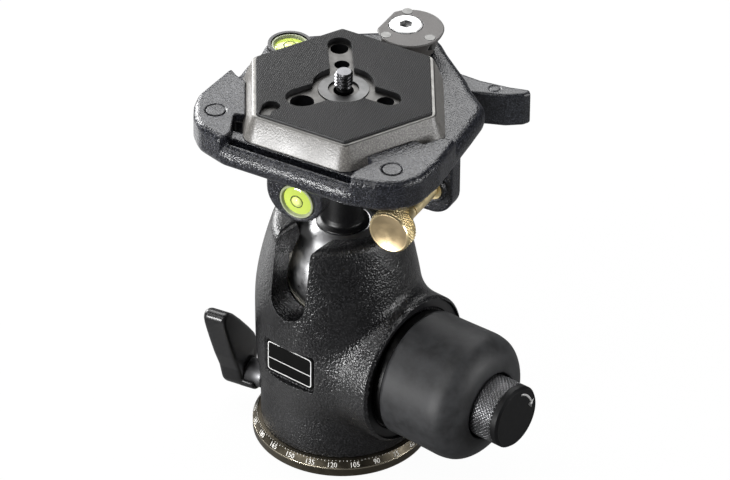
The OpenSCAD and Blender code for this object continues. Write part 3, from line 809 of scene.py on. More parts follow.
@dataclass(frozen=True)
class PowderCoat:
    """Wrinkle powder coat over a casting.

    Attributes:
        name: Name of the material.
        colour: Base colour.
        grain: Size of a wrinkle in millimetres.
        relief: Depth of the wrinkles in millimetres.
        gloss: Roughness of the coat.
        sparkle: How much lighter the crests and flecks are painted, as painted highlights, with the
            troughs painted darker as shade.
        wear: How bright the edges are lightened, from 0 to 1, standing for rubbed wear and for a
            painted highlight along rounded rims.
        edge: Radius of the soft edges in millimetres.
    """

    name: str
    colour: Colour
    grain: float
    relief: float
    gloss: float
    sparkle: float
    wear: float = 0.0
    edge: float = 0.4

    def make(self) -> bpy.types.Material:
        """Builds the material.

        Returns:
            The material.
        """
        s = Shader(self.name)
        grain = s.noise(1 / (self.grain * MM), 1.5, 0.5)
        # Painted highlight and shade: the wrinkle crests are coloured lighter and the troughs
        # darker, and a few light flecks are painted glints.
        crest = s.remap(grain, 0.45, 0.66)
        fleck_glint = s.remap(s.noise(1.5 / (self.grain * MM), 0.0), 0.58, 0.70)
        tint = s.blend(
            crest, scaled(self.colour, 1 - 0.5 * self.sparkle),
            scaled(self.colour, 1 + 2.2 * self.sparkle, 0.004))
        share = s.math("MULTIPLY", fleck_glint, min(1.0, self.sparkle))
        tint = s.blend(share, tint, scaled(self.colour, 5, 0.025))
        # Lighter edges: partly rubbed wear, partly a painted highlight along the rounded rims.
        if self.wear:
            worn_and_lit_edges = s.math(
                "MULTIPLY", s.edge_mask(2.2 * self.edge), s.remap(grain, 0.3, 0.7, 0.2, 1.0))
            tint = s.blend(s.math("MULTIPLY", worn_and_lit_edges, self.wear), tint, (0.42, 0.42, 0.43))
        rough = s.remap(s.noise(60, 2.0), 0.3, 0.7, self.gloss - 0.05, self.gloss + 0.05)
        normal = s.bump(grain, self.relief, s.soft_edges(self.edge))
        return s.set(Base_Color=tint, Roughness=rough, Normal=normal)


@dataclass(frozen=True)
class Machined:
    """Turned or ground metal.

    Attributes:
        name: Name of the material.
        colour: Base colour.
        roughness: Mean roughness.
        marks: Distance between turning marks in millimetres, 0 for none.
        axis: Axis that the marks run round.
        origin: A point on that axis, in millimetres.
        depth: Depth of the marks in millimetres.
        edge: Radius of the soft edges in millimetres.
    """

    name: str
    colour: Colour
    roughness: float = 0.3
    marks: float = 0.0
    axis: Axis = Axis.UP
    origin: tuple[float, float, float] = (0, 0, 0)
    depth: float = 0.004
    edge: float = 0.15

    def make(self) -> bpy.types.Material:
        """Builds the material.

        Returns:
            The material.
        """
        s = Shader(self.name)
        cloud = s.noise(400, 4.0)
        normal = s.soft_edges(self.edge)
        if self.marks:
            rings = s.node("TexNoise", Scale=1.0, Detail=3.0)
            rings.noise_dimensions = "1D"
            away = s.radial(self.axis.at(*self.origin))
            s.put(rings.inputs["W"], s.math("DIVIDE", away, self.marks * MM))
            normal = s.bump(rings.outputs["Fac"], self.depth, normal)
        else:
            normal = s.bump(cloud, 0.003, normal)
        return s.set(
            Metallic=1.0,
            Roughness=s.remap(cloud, 0.3, 0.7, self.roughness * 0.85, self.roughness * 1.2),
            Base_Color=s.blend(
                s.remap(s.noise(150, 3.0), 0.3, 0.7),
                scaled(self.colour, 0.9), scaled(self.colour, 1.08)),
            Normal=normal,
        )


@dataclass(frozen=True)
class Moulded:
    """Rubber or plastic with a fine uneven surface.

    Attributes:
        name: Name of the material.
        colour: Base colour.
        roughness: Mean roughness.
        mottle: How much the colour varies, from 0 to 1.
        grain: Size of the surface grain in millimetres.
        relief: Depth of the grain in millimetres.
        shine: Level of the plain reflection, 0.5 for a usual plastic.
    """

    name: str
    colour: Colour
    roughness: float
    mottle: float = 0.15
    grain: float = 0.25
    relief: float = 0.01
    shine: float = 0.5

    def make(self) -> bpy.types.Material:
        """Builds the material.

        Returns:
            The material.
        """
        s = Shader(self.name)
        cloud = s.noise(220, 4.0, 0.6)
        grain = s.noise(1 / (self.grain * MM), 2.0)
        return s.set(
            Base_Color=s.blend(
                s.remap(cloud, 0.35, 0.65),
                scaled(self.colour, 1 - self.mottle), scaled(self.colour, 1 + self.mottle)),
            Roughness=s.remap(cloud, 0.3, 0.7, self.roughness - 0.05, self.roughness + 0.05),
            Specular_IOR_Level=self.shine,
            Normal=s.bump(grain, self.relief, s.soft_edges(0.2)),
        )


@dataclass(frozen=True)
class HatchedRubber:
    """Rubber sheet moulded with fine crossed ribs.

    Attributes:
        name: Name of the material.
        colour: Colour in the grooves, darker as painted shade.
        crest: Colour on the crests, lighter as a painted highlight.
        pitch: Distance between ribs in millimetres.
    """

    name: str
    colour: Colour
    crest: Colour
    pitch: float

    def make(self) -> bpy.types.Material:
        """Builds the material.

        Returns:
            The material.
        """
        s = Shader(self.name)
        parts = s.node("SeparateXYZ", Vector=s.coords)
        waves = []
        for degrees in (20.0, 110.0):
            shares = zip("XY", polar(1.0, degrees))
            along = s.math("ADD", *(s.math("MULTIPLY", parts.outputs[k], c) for k, c in shares))
            turns = s.math("MULTIPLY", along, 2 * math.pi / (self.pitch * MM))
            waves.append(s.math("ADD", s.math("SINE", turns), 1.0))
        height = s.math("MULTIPLY", s.math("MULTIPLY", *waves), 0.25)
        # Painted shade and highlight: the colour follows the rib height, dark in the grooves and
        # light on the crests.
        return s.set(
            Base_Color=s.blend(s.remap(height, 0.25, 0.8), self.colour, self.crest),
            Roughness=0.6,
            Specular_IOR_Level=0.2,
            Normal=s.bump(height, 0.10, s.soft_edges(0.2)),
        )


@dataclass(frozen=True)
class VialFluid:
    """Clear plastic vial with a bright yellow-green liquid behind it, which glows faintly as a
    painted glow.

    Attributes:
        name: Name of the material.
        colour: Colour of the liquid.
    """

    name: str
    colour: Colour

    def make(self) -> bpy.types.Material:
        """Builds the material.

        Returns:
            The material.
        """
        # Painted glow: the liquid emits a little light of its own colour.
        return Shader(self.name).set(
            Base_Color=self.colour, Roughness=0.12, Coat_Weight=0.6,
            Emission_Color=self.colour, Emission_Strength=0.12)


class Finish:
    """All the finishes of the ball head."""

    def __init__(self) -> None:
        """Builds every material once."""
        # The housing's small edge lightening stands for the highlight line along its rim, a painted
        # highlight.
        self.housing = PowderCoat(
            "housing_coat", (0.003, 0.003, 0.0035), 0.72, 0.34, 0.28, 0.5, 0.06).make()
        self.neck = PowderCoat("neck_coat", (0.002, 0.002, 0.0025), 0.5, 0.06, 0.36, 0.08).make()
        self.head = PowderCoat(
            "head_coat", (0.006, 0.0065, 0.009), 0.66, 0.24, 0.28, 0.8, 0.45).make()
        self.cam_lever = PowderCoat(
            "cam_lever_coat", (0.012, 0.013, 0.016), 0.5, 0.10, 0.34, 0.6, 0.3).make()
        self.pan_lever = PowderCoat(
            "pan_lever_coat", (0.003, 0.003, 0.0035), 0.4, 0.02, 0.33, 0.3, 0.2).make()
        self.plate = PowderCoat(
            "plate_cast", (0.112, 0.107, 0.10), 0.6, 0.06, 0.34, 0.2, 0.5, 0.6).make()
        self.cam = PowderCoat("cam_cast", (0.07, 0.065, 0.062), 0.3, 0.01, 0.55, 0.08, 0.5).make()
        self.hub = PowderCoat("hub_coat", (0.012, 0.012, 0.013), 0.3, 0.01, 0.3, 0.1).make()
        self.grip = Moulded(
            "grip_rubber", (0.022, 0.0225, 0.024), 0.54, 0.32, 0.4, 0.03, 0.4).make()
        self.friction = Moulded(
            "friction_plastic", (0.003, 0.003, 0.0035), 0.5, 0.1, shine=0.2).make()
        self.trim = Moulded("black_trim", (0.006, 0.006, 0.007), 0.4, 0.1).make()
        self.label = Moulded("label_black", (0.002, 0.002, 0.002), 0.7, 0.05, shine=0.08).make()
        self.pad_side = Moulded("pad_side_rubber", (0.012, 0.012, 0.013), 0.5).make()
        self.seal = Moulded("seal_rubber", (0.012, 0.012, 0.012), 0.5).make()
        self.liner = Moulded("bearing_plastic", (0.60, 0.58, 0.50), 0.4).make()
        self.print = Moulded("scale_print", (0.85, 0.83, 0.78), 0.5, 0.05).make()
        self.white = Moulded("white_print", (0.80, 0.80, 0.79), 0.5, 0.04).make()
        self.vial_rim = Moulded("vial_rim", (0.35, 0.38, 0.24), 0.25, 0.05).make()
        self.fluid = VialFluid("vial_fluid", (0.50, 0.62, 0.10)).make()
        # The bubble is a lighter copy of the liquid, a painted highlight, and glows the same way.
        self.bubble = VialFluid("vial_bubble", (0.85, 0.95, 0.30)).make()
        self.pad = HatchedRubber(
            "pad_rubber", (0.002, 0.002, 0.002), (0.045, 0.045, 0.048), 0.70).make()
        self.plate_floor = Machined("plate_floor", (0.085, 0.083, 0.08), 0.45).make()
        # The rim's top faces get a lighter metal than the cast plate.
        self.plate_rim = Machined("plate_rim_lighter", (0.16, 0.157, 0.15), 0.42).make()
        self.knurl = Machined("knurl_black", (0.20, 0.20, 0.205), 0.36, edge=0.05).make()
        self.knob_core = Machined("knob_core", (0.03, 0.03, 0.03), 0.35).make()
        self.hub_metal = Machined("pan_hub_metal", (0.145, 0.145, 0.15), 0.5).make()
        self.base = Machined("base_anodised", (0.12, 0.105, 0.08), 0.4, 0.35).make()
        self.base_edge = Machined("base_edge_bright", (0.62, 0.56, 0.44), 0.25).make()
        self.base_slope = Machined("base_slope_anodised", (0.075, 0.065, 0.048), 0.38).make()
        self.ball = Machined("ball_polish", (0.6, 0.6, 0.61), 0.32, edge=0.4).make()
        self.black_steel = Machined("black_steel", (0.10, 0.10, 0.105), 0.25).make()
        self.steel = Machined("steel", (0.50, 0.50, 0.51)).make()
        self.bright = Machined("bright_steel", (0.45, 0.45, 0.45)).make()
        self.pin = Machined("pin_steel", (0.14, 0.14, 0.137), 0.42).make()
        self.dull = Machined("dull_steel", (0.10, 0.10, 0.10), 0.45).make()
        self.machined = Machined("machined", (0.55, 0.55, 0.56), 0.3, 0.3).make()
        self.brass = Machined("brass", (0.95, 0.78, 0.46), 0.36, edge=0.04).make()
        middle = in_head() @ Vector((36.9, -35, 115.7))
        self.brass_face = Machined(
            "brass_spun", (0.62, 0.48, 0.28), 0.34, 0.25, Axis.FRONT, tuple(middle), 0.01).make()


def dress(piece: Piece, *materials: bpy.types.Material) -> None:
    """Gives a piece its materials.

    Args:
        piece: The piece.
        materials: Its materials, in slot order.
    """
    piece.data.materials.clear()
    for material in materials:
        piece.data.materials.append(material)


def show(
    piece: Piece,
    materials: Sequence[bpy.types.Material],
    body: str,
    slot: str,
    *nodes: str,
    crisp: float = 0.0,
    pick: Optional[Callable[[bpy.types.MeshPolygon], int]] = None,
) -> None:
    """Dresses a piece and lets it stand for CAD nodes and move with their body.

    Args:
        piece: The visible piece.
        materials: Its materials, in slot order.
        body: The CAD body that it rides on.
        slot: Name of a material slot of its finish; not used.
        nodes: The nodes that it replaces.
        crisp: Edges sharper than this many degrees stay crisp in the shading.
        pick: Says which of the materials a face gets.
    """
    if crisp:
        piece.data.shade_smooth()
        piece.data.set_sharp_from_angle(angle=math.radians(crisp))
    dress(piece, *materials)
    if pick:
        for face in piece.data.polygons:
            face.material_index = pick(face)
    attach(piece, body)
    if nodes:
        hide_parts(*nodes)
    LOG.info("%s: %d faces", piece.name, len(piece.data.polygons))


# -------------------------------------------------------------- the stage


def direction(azimuth: float, elevation: float) -> Vector:
    """Finds the direction from the object to a lamp or a camera.

    Args:
        azimuth: Angle round the object in degrees, 0 in front of it.
        elevation: Angle above the horizon in degrees.

    Returns:
        The direction, one long.
    """
    x, y = polar(1.0, azimuth - 90)
    level, up = polar(1.0, elevation)
    return Vector((x * level, y * level, up))


@dataclass
class Stage:
    """Camera, lamps, floor and backdrop.

    Attributes:
        azimuth: Direction of the camera in degrees.
        elevation: Height of the camera above the horizon in degrees.
        roll: Turn of the picture in degrees.
        distance: Distance of the camera in millimetres.
        look: Point looked at, as shift to the right and height, in millimetres.
        focal: Focal length in pixels of a frame 730 wide.
        lamps: Name, azimuth, elevation, side in metres and power in watts of each lamp.
        reach: Distance of the lamps in metres.
        ambient: Strength of the light from all round.
        floor_grey: How much light the floor throws back.
        floor_glow: How bright the camera sees the floor.
        floor_share: Share of that brightness that no shadow reaches.
        patches: Bright patches that the floor shows to gloss: place, radius, strength.
    """

    azimuth: float = 38.37
    elevation: float = 35.34
    roll: float = -0.51
    distance: float = 2370.1
    look: Point2 = (7.674, 78.575)
    focal: float = 6915.9
    lamps: tuple = (
        ("back", 215, 48, 0.7, 8.0), ("left", -100, 20, 0.5, 15.0), ("key", -40, 44, 0.3, 1.2),
        ("top", 2, 50, 0.28, 2.3), ("low", -12, 2, 0.22, 9.0), ("right", 110, 12, 0.35, 5.0),
    )
    reach: float = 0.9
    ambient: float = 0.03
    floor_grey: float = 0.11
    floor_glow: float = 1.18
    floor_share: float = 0.82
    patches: tuple = ((-215, -20, 130, 2.0), (-18, -62, 45, 0.7), (0, 0, 450, 0.10))

    def camera(self) -> None:
        """Makes the camera."""
        data = bpy.data.cameras.new("camera")
        data.sensor_width = 36.0
        data.lens = self.focal * 36.0 / 730.0
        data.clip_end = 20.0
        camera = bpy.data.objects.new("camera", data)
        bpy.context.scene.collection.objects.link(camera)
        back = direction(self.azimuth, self.elevation)
        flat = direction(self.azimuth + 90, 0)
        target = Vector((0, 0, self.look[1])) + flat * self.look[0]
        turn = Matrix((flat, back.cross(flat), back)).transposed()
        roll = Matrix.Rotation(math.radians(-self.roll), 4, "Z")
        place = Matrix.Translation((target + back * self.distance) * MM)
        camera.matrix_world = place @ turn.to_4x4() @ roll
        bpy.context.scene.camera = camera

    def light(self) -> None:
        """Makes the lamps, soft squares that face the object."""
        for name, azimuth, elevation, side, power in self.lamps:
            data = bpy.data.lights.new(name, "AREA")
            data.energy = power
            data.size = side
            lamp = bpy.data.objects.new(name, data)
            bpy.context.scene.collection.objects.link(lamp)
            back = direction(azimuth, elevation)
            lamp.location = Vector((0, 0, 0.08)) + back * self.reach
            lamp.rotation_mode = "QUATERNION"
            lamp.rotation_quaternion = (-back).to_track_quat("-Z", "Y")

    def background(self) -> None:
        """Makes a world that is white to the camera and plain to the object."""
        world = bpy.data.worlds.new("world")
        bpy.context.scene.world = world
        tree = Nodes(world)
        camera_ray = tree.node("LightPath").outputs["Is Camera Ray"]
        plain = tree.feed("Background", (0.95, 0.97, 1.0), self.ambient)
        white = tree.feed("Background", (1, 1, 1), 1.0)
        tree.node("OutputWorld", Surface=tree.feed("MixShader", camera_ray, plain, white))

    def floor(self) -> None:
        """Makes a white floor that keeps a soft shadow."""
        side = 1500
        piece = new_mesh("floor", [(x * side, y * side, 0) for x, y in CORNERS], [range(4)])
        piece.location.z = -0.0002
        material = bpy.data.materials.new("floor_white")
        tree = Nodes(material)
        ray = tree.node("LightPath").outputs
        matt = tree.feed("BsdfDiffuse", (self.floor_grey,) * 3)
        glow = tree.feed("Emission", (1, 1, 1), self.floor_glow)
        share = tree.math("MULTIPLY", ray["Is Camera Ray"], self.floor_share)
        spot = tree.node("NewGeometry").outputs["Position"]
        total: object = 0.0
        for x, y, radius, strength in self.patches:
            away = tree.feed(
                "VectorMath", spot, Vector((x, y, 0)) * MM, out="Value", operation="DISTANCE")
            span = (0.15 * radius * MM, radius * MM)
            total = tree.math("ADD", tree.remap(away, *span, strength, 0.0, "SMOOTHSTEP"), total)
        sheen = tree.feed(
            "Emission", (1, 1, 1), tree.math("MULTIPLY", ray["Is Glossy Ray"], total))
        mix = tree.feed("MixShader", share, matt, glow)
        tree.node("OutputMaterial", Surface=tree.feed("AddShader", mix, sheen))
        dress(piece, material)

    def build(self) -> None:
        """Makes the whole stage."""
        self.camera()
        self.background()
        self.floor()
        self.light()
        bpy.context.scene.view_settings.view_transform = "Standard"


# ------------------------------------------------------------ the pieces


@dataclass
class Part:
    """A sub-assembly of the ball head.

    Attributes:
        finish: The finishes of its pieces.
    """

    finish: Finish


@dataclass
class Housing(Part):
    """The bell that holds the ball, with its notch and the boss of the lock knob.

    Attributes:
        bell: Widest radius of the bell.
        bore: Radius of the bore.
        low: Height of the underside.
        rim: Height of the rim.
        notch: Half width of the notch.
        boss: Radius of the boss.
        face: How far the boss's face stands from the pan axis.
        sink: Radius of the sink in the boss.
        melt_width: Width of the fillet between bell and boss.
        facet: Width and height of the facet that holds the label.
    """

    bell: float = 28.3
    bore: float = 21.2
    low: float = 6.3
    rim: float = 91.5
    notch: float = 7.4
    boss: float = 27.0
    face: float = 32.5
    sink: float = 26.0
    melt_width: float = 4.2
    facet: Point2 = (20.6, 13.2)

    def forms(self, above: float) -> tuple[list[Turned], Turned]:
        """Lays out the turned forms that melt into the casting.

        Args:
            above: Height where the forms of the bell end.

        Returns:
            The forms of the bell, and the boss.
        """
        b, knob, ball, rim = self.bell, KNOB_Z, BALL_Z, self.rim
        bells = [
            (b, 0.0, [
                (-0.4, self.low - 4), (0, self.low + 16.7), (0, knob - 2.5), (-0.3, knob + 11.5),
                (-1, ball - 9.5), (-3.8, ball + 3.2), (-5.1, ball + 10.5), (-5.9, rim - 5.5),
                (-6.7, rim), (-7.2, above)]),
            (b, -2.6, [
                (-9, knob - 20), (-2.7, knob - 14.5), (-1.1, knob - 8.5), (-0.3, knob - 2.5),
                (0, knob + 9.5), (0.2, ball - 11.5), (-0.1, ball - 5.5), (-1, ball + 0.5),
                (-2.3, ball + 7.1), (-4.4, rim - 6.5), (-6.5, rim), (-7.7, above)]),
            (self.bore, 9.2 - self.bore, [
                (-8, ball - 24), (-4, ball - 21.5), (-2.9, ball - 11.5), (-2.7, ball - 5.5),
                (-2.9, ball + 0.5), (-3.6, ball + 10.5), (-4.6, rim), (-5, above)]),
        ]
        turned = [
            Turned(even([(radius + out, up) for out, up in line], 2.5, 3),
                   Matrix.Translation((0, shift, 0)))
            for radius, shift, line in bells
        ]
        soft, face = 1.0, self.face
        boss = Turned(
            [(0.01, 0), (b - 1.1 - soft, 0), (b - 0.5 - soft, face - 20.5),
             (self.boss + 0.1 - soft, face - 11.5), (self.boss - soft, face - soft),
             (0.01, face - soft)], KNOB_PLACE, soft)
        return turned, boss

    def surface(self, points: np.ndarray) -> np.ndarray:
        """Measures the distance to the outside of the casting.

        Args:
            points: Positions in millimetres, one row each.

        Returns:
            One distance for each point.
        """
        bells, boss = self.forms(self.rim + 4)
        total = bells[0].distance(points)
        for form in bells[1:]:
            total = melt(total, form.distance(points), 3.0)
        total = melt(total, boss.distance(points), self.melt_width)
        return -melt(-total, self.rim - points[:, 2], 3.4)

    def slot(self) -> list[Piece]:
        """Makes the tools that cut the notch and the room for the neck's flange.

        Returns:
            The tools.
        """
        n, rim = self.notch, self.rim
        flare = [(n + 1.6 * (1 - x), rim - 1.9 * (1 - y)) for x, y in arc(1.0, 0, 90, 6)]
        right = [*flare, (n + 1.6, rim + 6)]
        left = [(-x, z) for x, z in reversed(right)]
        outline = [*arc(n, 180, 360, 24, 0, BALL_Z), *right, *left]
        relief = lathe(
            "tool", [(0, -9.7), (19, -9.7), (20.9, -n), (20.9, n), (19, 9.7), (0, 9.7)],
            Axis.KNOB.at(0, 0, BALL_Z), 96)
        combine(relief, "INTERSECT", block((-15, -60, BALL_Z), (15, 0, BALL_Z + 60)))
        low = lathe("tool", [(0, 0), (9.7, 0), (9.7, 19), (n, 20.9), (0, 20.9)],
                    Axis.FRONT.at(0, 0, BALL_Z), 96)
        return [prism("tool", outline, 0, 60, FRONT_PLACE), relief, low]

    def build(self) -> None:
        """Makes the casting and dresses it."""
        bells, boss = self.forms(self.rim)
        piece = join([form.mesh("housing_casting") for form in [*bells, boss]])
        modify(piece, "REMESH", mode="VOXEL", voxel_size=0.75 * MM)
        settle(piece, self.surface)
        mouth, rim, face = BALL_Z + 11, self.rim, self.face
        throat = lathe("tool", [
            (0, 0), (self.bore, 0), (self.bore, mouth), (17.5, mouth), (15.2, mouth + 3),
            (17.5, rim - 0.6), (18.1, rim), (18.1, rim + 9), (0, rim + 9)])
        wide, tall = self.facet[0] / 2 + 0.9, self.facet[1] / 2 + 1
        facet = fillet([(x * wide, KNOB_Z + 3.5 + y * tall, 2.0) for x, y in CORNERS], True)
        bores = join([
            lathe("tool", [(0, 15), (8.03, 15), (8.03, face - 2.1), (self.sink, face - 2.1),
                           (self.sink, face + 8), (0, face + 8)], KNOB_PLACE),
            prism("tool", facet, self.bell, 40, FRONT_PLACE),
            rod(3.03, 15.2, 40, Axis.PAN_LOCK.at(z=11), 48),
            rod(4.03, 18, 40,
                Matrix.Translation((0, 0, KNOB_Z)) @ Matrix.Rotation(-QUARTER, 4, "X"), 48),
        ])
        foot = block((-50, -50, -20), (50, 50, self.low))
        combine(piece, "DIFFERENCE", foot, throat, bores, *self.slot())
        show(piece, [self.finish.housing], "housing", "housing_coat", "housing", crisp=32)


@dataclass
class PlateHolder(Part):
    """The quick-release body with its two fixed jaws and its lugs.

    Attributes:
        half: Half width of the camera plate at its foot.
        low: Height of the underside.
        seat: Height of the plate's seat.
        jaw: Height of the jaws' tops.
        pin_at: Side and place of the pins in the jaws.
    """

    half: float = 34.3
    low: float = 125.0
    seat: float = 133.3
    jaw: float = 137.0
    pin_at: tuple = (("right", 34.4, -28.3), ("left", -34.2, -27.2))

    def around(self, corners: Sequence[Point2], radius: float) -> list[Point2]:
        """Draws an outline from directions and distances past the plate.

        Args:
            corners: Direction in degrees and distance past the half width.
            radius: Radius of the rounded corners.

        Returns:
            The rounded outline.
        """
        points = [(*polar(self.half + out, degrees), radius) for degrees, out in corners]
        return fillet(points, True, 5)

    def outline(self) -> list[Point2]:
        """Draws the plan of the body.

        Returns:
            The outline.
        """
        return self.around(
            [(-120.3, 13.2), (-59.7, 13.2), (-48.1, 17.4), (-39.7, 19.7), (-31.4, 18.7),
             (-19.8, 14.8), (-3.2, 10.6), (12.9, 10.6), (25.7, 13), (32.4, 14.2),
             (45, 11.7), (54.6, 12.3), (73.8, 16.2), (79.7, 19.3), (85.9, 22.1),
             (94.1, 21.8), (98.7, 18.3), (106.2, 15.5), (122.8, 13.3), (130.7, 13.2),
             (136.2, 13.7), (142.6, 16.8), (149.1, 16.3), (154.1, 13.7), (158.1, 11.2),
             (163.5, 10), (170.6, 8.8), (178.6, 7.5), (-176.7, 8.9), (-154.7, 14.9),
             (-147.8, 16.3), (-140.8, 17.1), (-133, 17)], 9.0)

    def jaws(self) -> list[Piece]:
        """Makes the two fixed jaws, whose walls rise from the body's edge.

        Returns:
            The jaws.
        """
        right = self.around(
            [(-59.5, 24), (-57.3, 10.5), (-55.4, 8.3), (-46.5, 4.3), (-50.7, -5.9),
             (-17.4, -2.9), (-15.3, 3.2), (-5.6, 5.8), (-4.2, 8.2), (-3.4, 11), (-3, 30)],
            0.9)
        left = self.around(
            [(-121.3, 24), (-121.8, 10.5), (-123.4, 8.4), (-136.6, 3.8), (-129.3, -5.9),
             (-166.6, -1.4), (-172, 4.7), (-176.7, 8.7), (-175.5, 30), (-150, 45)], 0.9)
        jaws = []
        for region in (right, left):
            slab = pillow("tool", self.outline(), self.seat - 6, self.jaw, 2.3, 0, in_head())
            cut = prism("tool", region, self.low, self.jaw + 5, in_head())
            jaws.append(combine(slab, "INTERSECT", cut))
        return jaws

    def lugs(self) -> list[Piece]:
        """Makes the front lug of the bubble level and the lug of the catch.

        Returns:
            The lugs.
        """
        level = [*arc(11, 180, 360, 24, -1, 116.6), (10, 126), (-12, 126)]
        catch = [(27, 105), *arc(8, 270, 360, 16, 35.9, 113), (43.9, 126), (27, 126)]
        front = in_head() @ FRONT_PLACE
        return [
            pillow("tool", level, 26, 32, 1.0, 1.0, front),
            pillow("tool", catch, -3, 3.5, 0.8, 0.8, front),
            rod(5.0, -4, 5.2, in_head() @ Axis.FRONT.at(36.9, 0, 115.7)),
        ]

    def cuts(self) -> list[Piece]:
        """Makes the tools for all the pockets and bores.

        Returns:
            The tools.
        """
        head = in_head()
        hexagon = arc((self.half + 0.15) / math.cos(math.pi / 6), 0, 300, 5)
        bolts = [polar(12, 90 + 120 * k - math.degrees(HEAD_TURN)) for k in range(3)]
        sizes = ((3.6, 128.4, 140), (2.03, 117, 130))
        return [
            pillow("tool", hexagon, self.seat, self.seat + 6, 0, 0, head, 2.41),
            block((-23.4, -37.6, 127), (23.4, -34.4, 147), head),
            block((-23.4, -45, 131), (23.4, -35, 151), head),
            block((-28.4, -30.2, 120), (-22, -24.2, 133.4), head),
            block((22, -30.2, 120), (28.4, -24.2, 133.4), head),
            bore(0, 0, 18, 131.2, 140.3),
            bore(0, 43.5, 3.6, 120, 141),
            bore(0, 43.5, 7.2, 120, 129),
            bore(-34.6, 24.3, 7.73, 126.8, 141),
            bore(35.4, 0.5, 1.6, 115.7, 141),
            rod(6.6, 27, 40, head @ Axis.FRONT.at(0, 0, 114), 96),
            rod(4.0, -5, 20, head @ Axis.FRONT.at(36.9, 0, 115.7)),
            *[bore(x, y, 3.6, self.jaw - 0.8, self.jaw + 1) for _, x, y in self.pin_at],
            *[bore(*spot, *size) for spot in bolts for size in sizes],
        ]

    def build(self) -> None:
        """Makes the casting and the pins pressed into its jaws."""
        body = pillow(
            "plate_holder", self.outline(), self.low, self.seat, 4.0, 3.0, in_head())
        combine(body, "UNION", *self.jaws(), *self.lugs())
        combine(body, "DIFFERENCE", *self.cuts())
        slim(soften(body, 0.34, 3), 0.35)
        show(body, [self.finish.head], "head", "head_coat", "qr_body")
        low, high = self.jaw - 2, self.jaw
        for side, x, y in self.pin_at:
            pin = lathe(f"jaw_pin_{side}", [(0, low), (3.15, low), (3.15, high, 0.2), (0, high)],
                        in_head(x, y), 64)
            show(pin, [self.finish.head], "head", "head_coat")


@dataclass
class LockKnob(Part):
    """The rubber lock knob and the small friction knob in its middle.

    Attributes:
        radius: Radius of the grip.
        back: Back face of the grip along the knob's axis.
        core: Front face of the knob's core.
        small: Radius of the friction knob.
    """

    radius: float = 23.3
    back: float = 34.0
    core: float = 56.0
    small: float = 11.3

    def grip(self) -> None:
        """Makes the rubber grip."""
        r, c, s, back = self.radius, self.core, self.small, self.back
        line = even(
            [(r - 0.6, back + 0.9), (r - 0.6, back + 7), (r - 0.15, c - 0.5),
             (r - 0.7, c + 2.9), (r - 1.9, c + 5), (r - 3.5, c + 6.7), (r - 5.5, c + 8.2),
             (r - 7.8, c + 9.1), (s + 1.9, c + 9.5)], 0.8, 2)
        profile = [
            (r - 4.25, back), (r - 1.5, back, 0.8), *line, (s + 1.0, c + 9.35, 0.5),
            (s + 0.75, c + 8.6), (s + 0.75, c + 0.05), (r - 4.25, c + 0.05), (r - 4.25, back)]
        piece = lathe("rubber_grip", profile, KNOB_PLACE, 160)
        show(piece, [self.finish.grip], "lock_knob", "knob_rubber", "knob_grip")

    def friction(self) -> None:
        """Makes the friction knob with its knurled rim."""
        s, c = self.small, self.core
        low, high = c + 8.0, c + 17.3
        turned = [
            ([(2.05, low), (2.05, c + 0.45), (s - 0.7, c + 0.45), (s - 0.7, low),
              (s - 0.35, low + 0.05)], 120),
            ([(s - 0.35, high), (s - 0.02, high + 0.25), (s - 0.02, c + 19.5, 0.15),
              (s - 0.75, c + 20.35, 0.2), (s - 0.9, c + 20.35), (s - 1.0, c + 20.2),
              (0, c + 20.2)], 160),
            ([(2.05, c + 14), (0, c + 14)], 24),
            ([(2.05, c + 14), (2.05, low)], 24),
        ]
        pieces = [lathe("friction_cap", line, KNOB_PLACE, count) for line, count in turned]
        rim = knurl("friction_cap", s - 0.45, 0.42, low + 0.05, high, 46, KNOB_PLACE)

        def knurled(face: bpy.types.MeshPolygon) -> int:
            """Returns 1 for a face of the knurl and 0 for the others."""
            out = math.hypot(face.center.y, face.center.z - KNOB_Z * MM)
            return int(low * MM < face.center.x < high * MM and out > (s - 0.6) * MM)

        show(join([*pieces, rim]), [self.finish.friction, self.finish.knurl], "friction_knob",
             "friction_plastic", "friction_knob", crisp=40, pick=knurled)

    def arrow(self) -> None:
        """Makes the curved arrow printed on the friction knob's face."""
        radius, wide, start, end = 8.4, 0.4, 104, 162
        high = self.core + 20.23
        shaft = arc(radius + wide, start, end, 24) + arc(radius - wide, end, start, 24)
        head = [polar(radius + out, start - math.degrees(along / radius))
                for along, out in ((-0.3, 1.6), (2.4, 0.0), (-0.3, -1.6))]
        parts = [prism("turn_arrow", line, high - 0.05, high, KNOB_PLACE)
                 for line in (shaft, head)]
        show(join(parts), [self.finish.white], "friction_knob", "friction_plastic")

    def build(self) -> None:
        """Makes both knobs."""
        self.grip()
        self.friction()
        self.arrow()


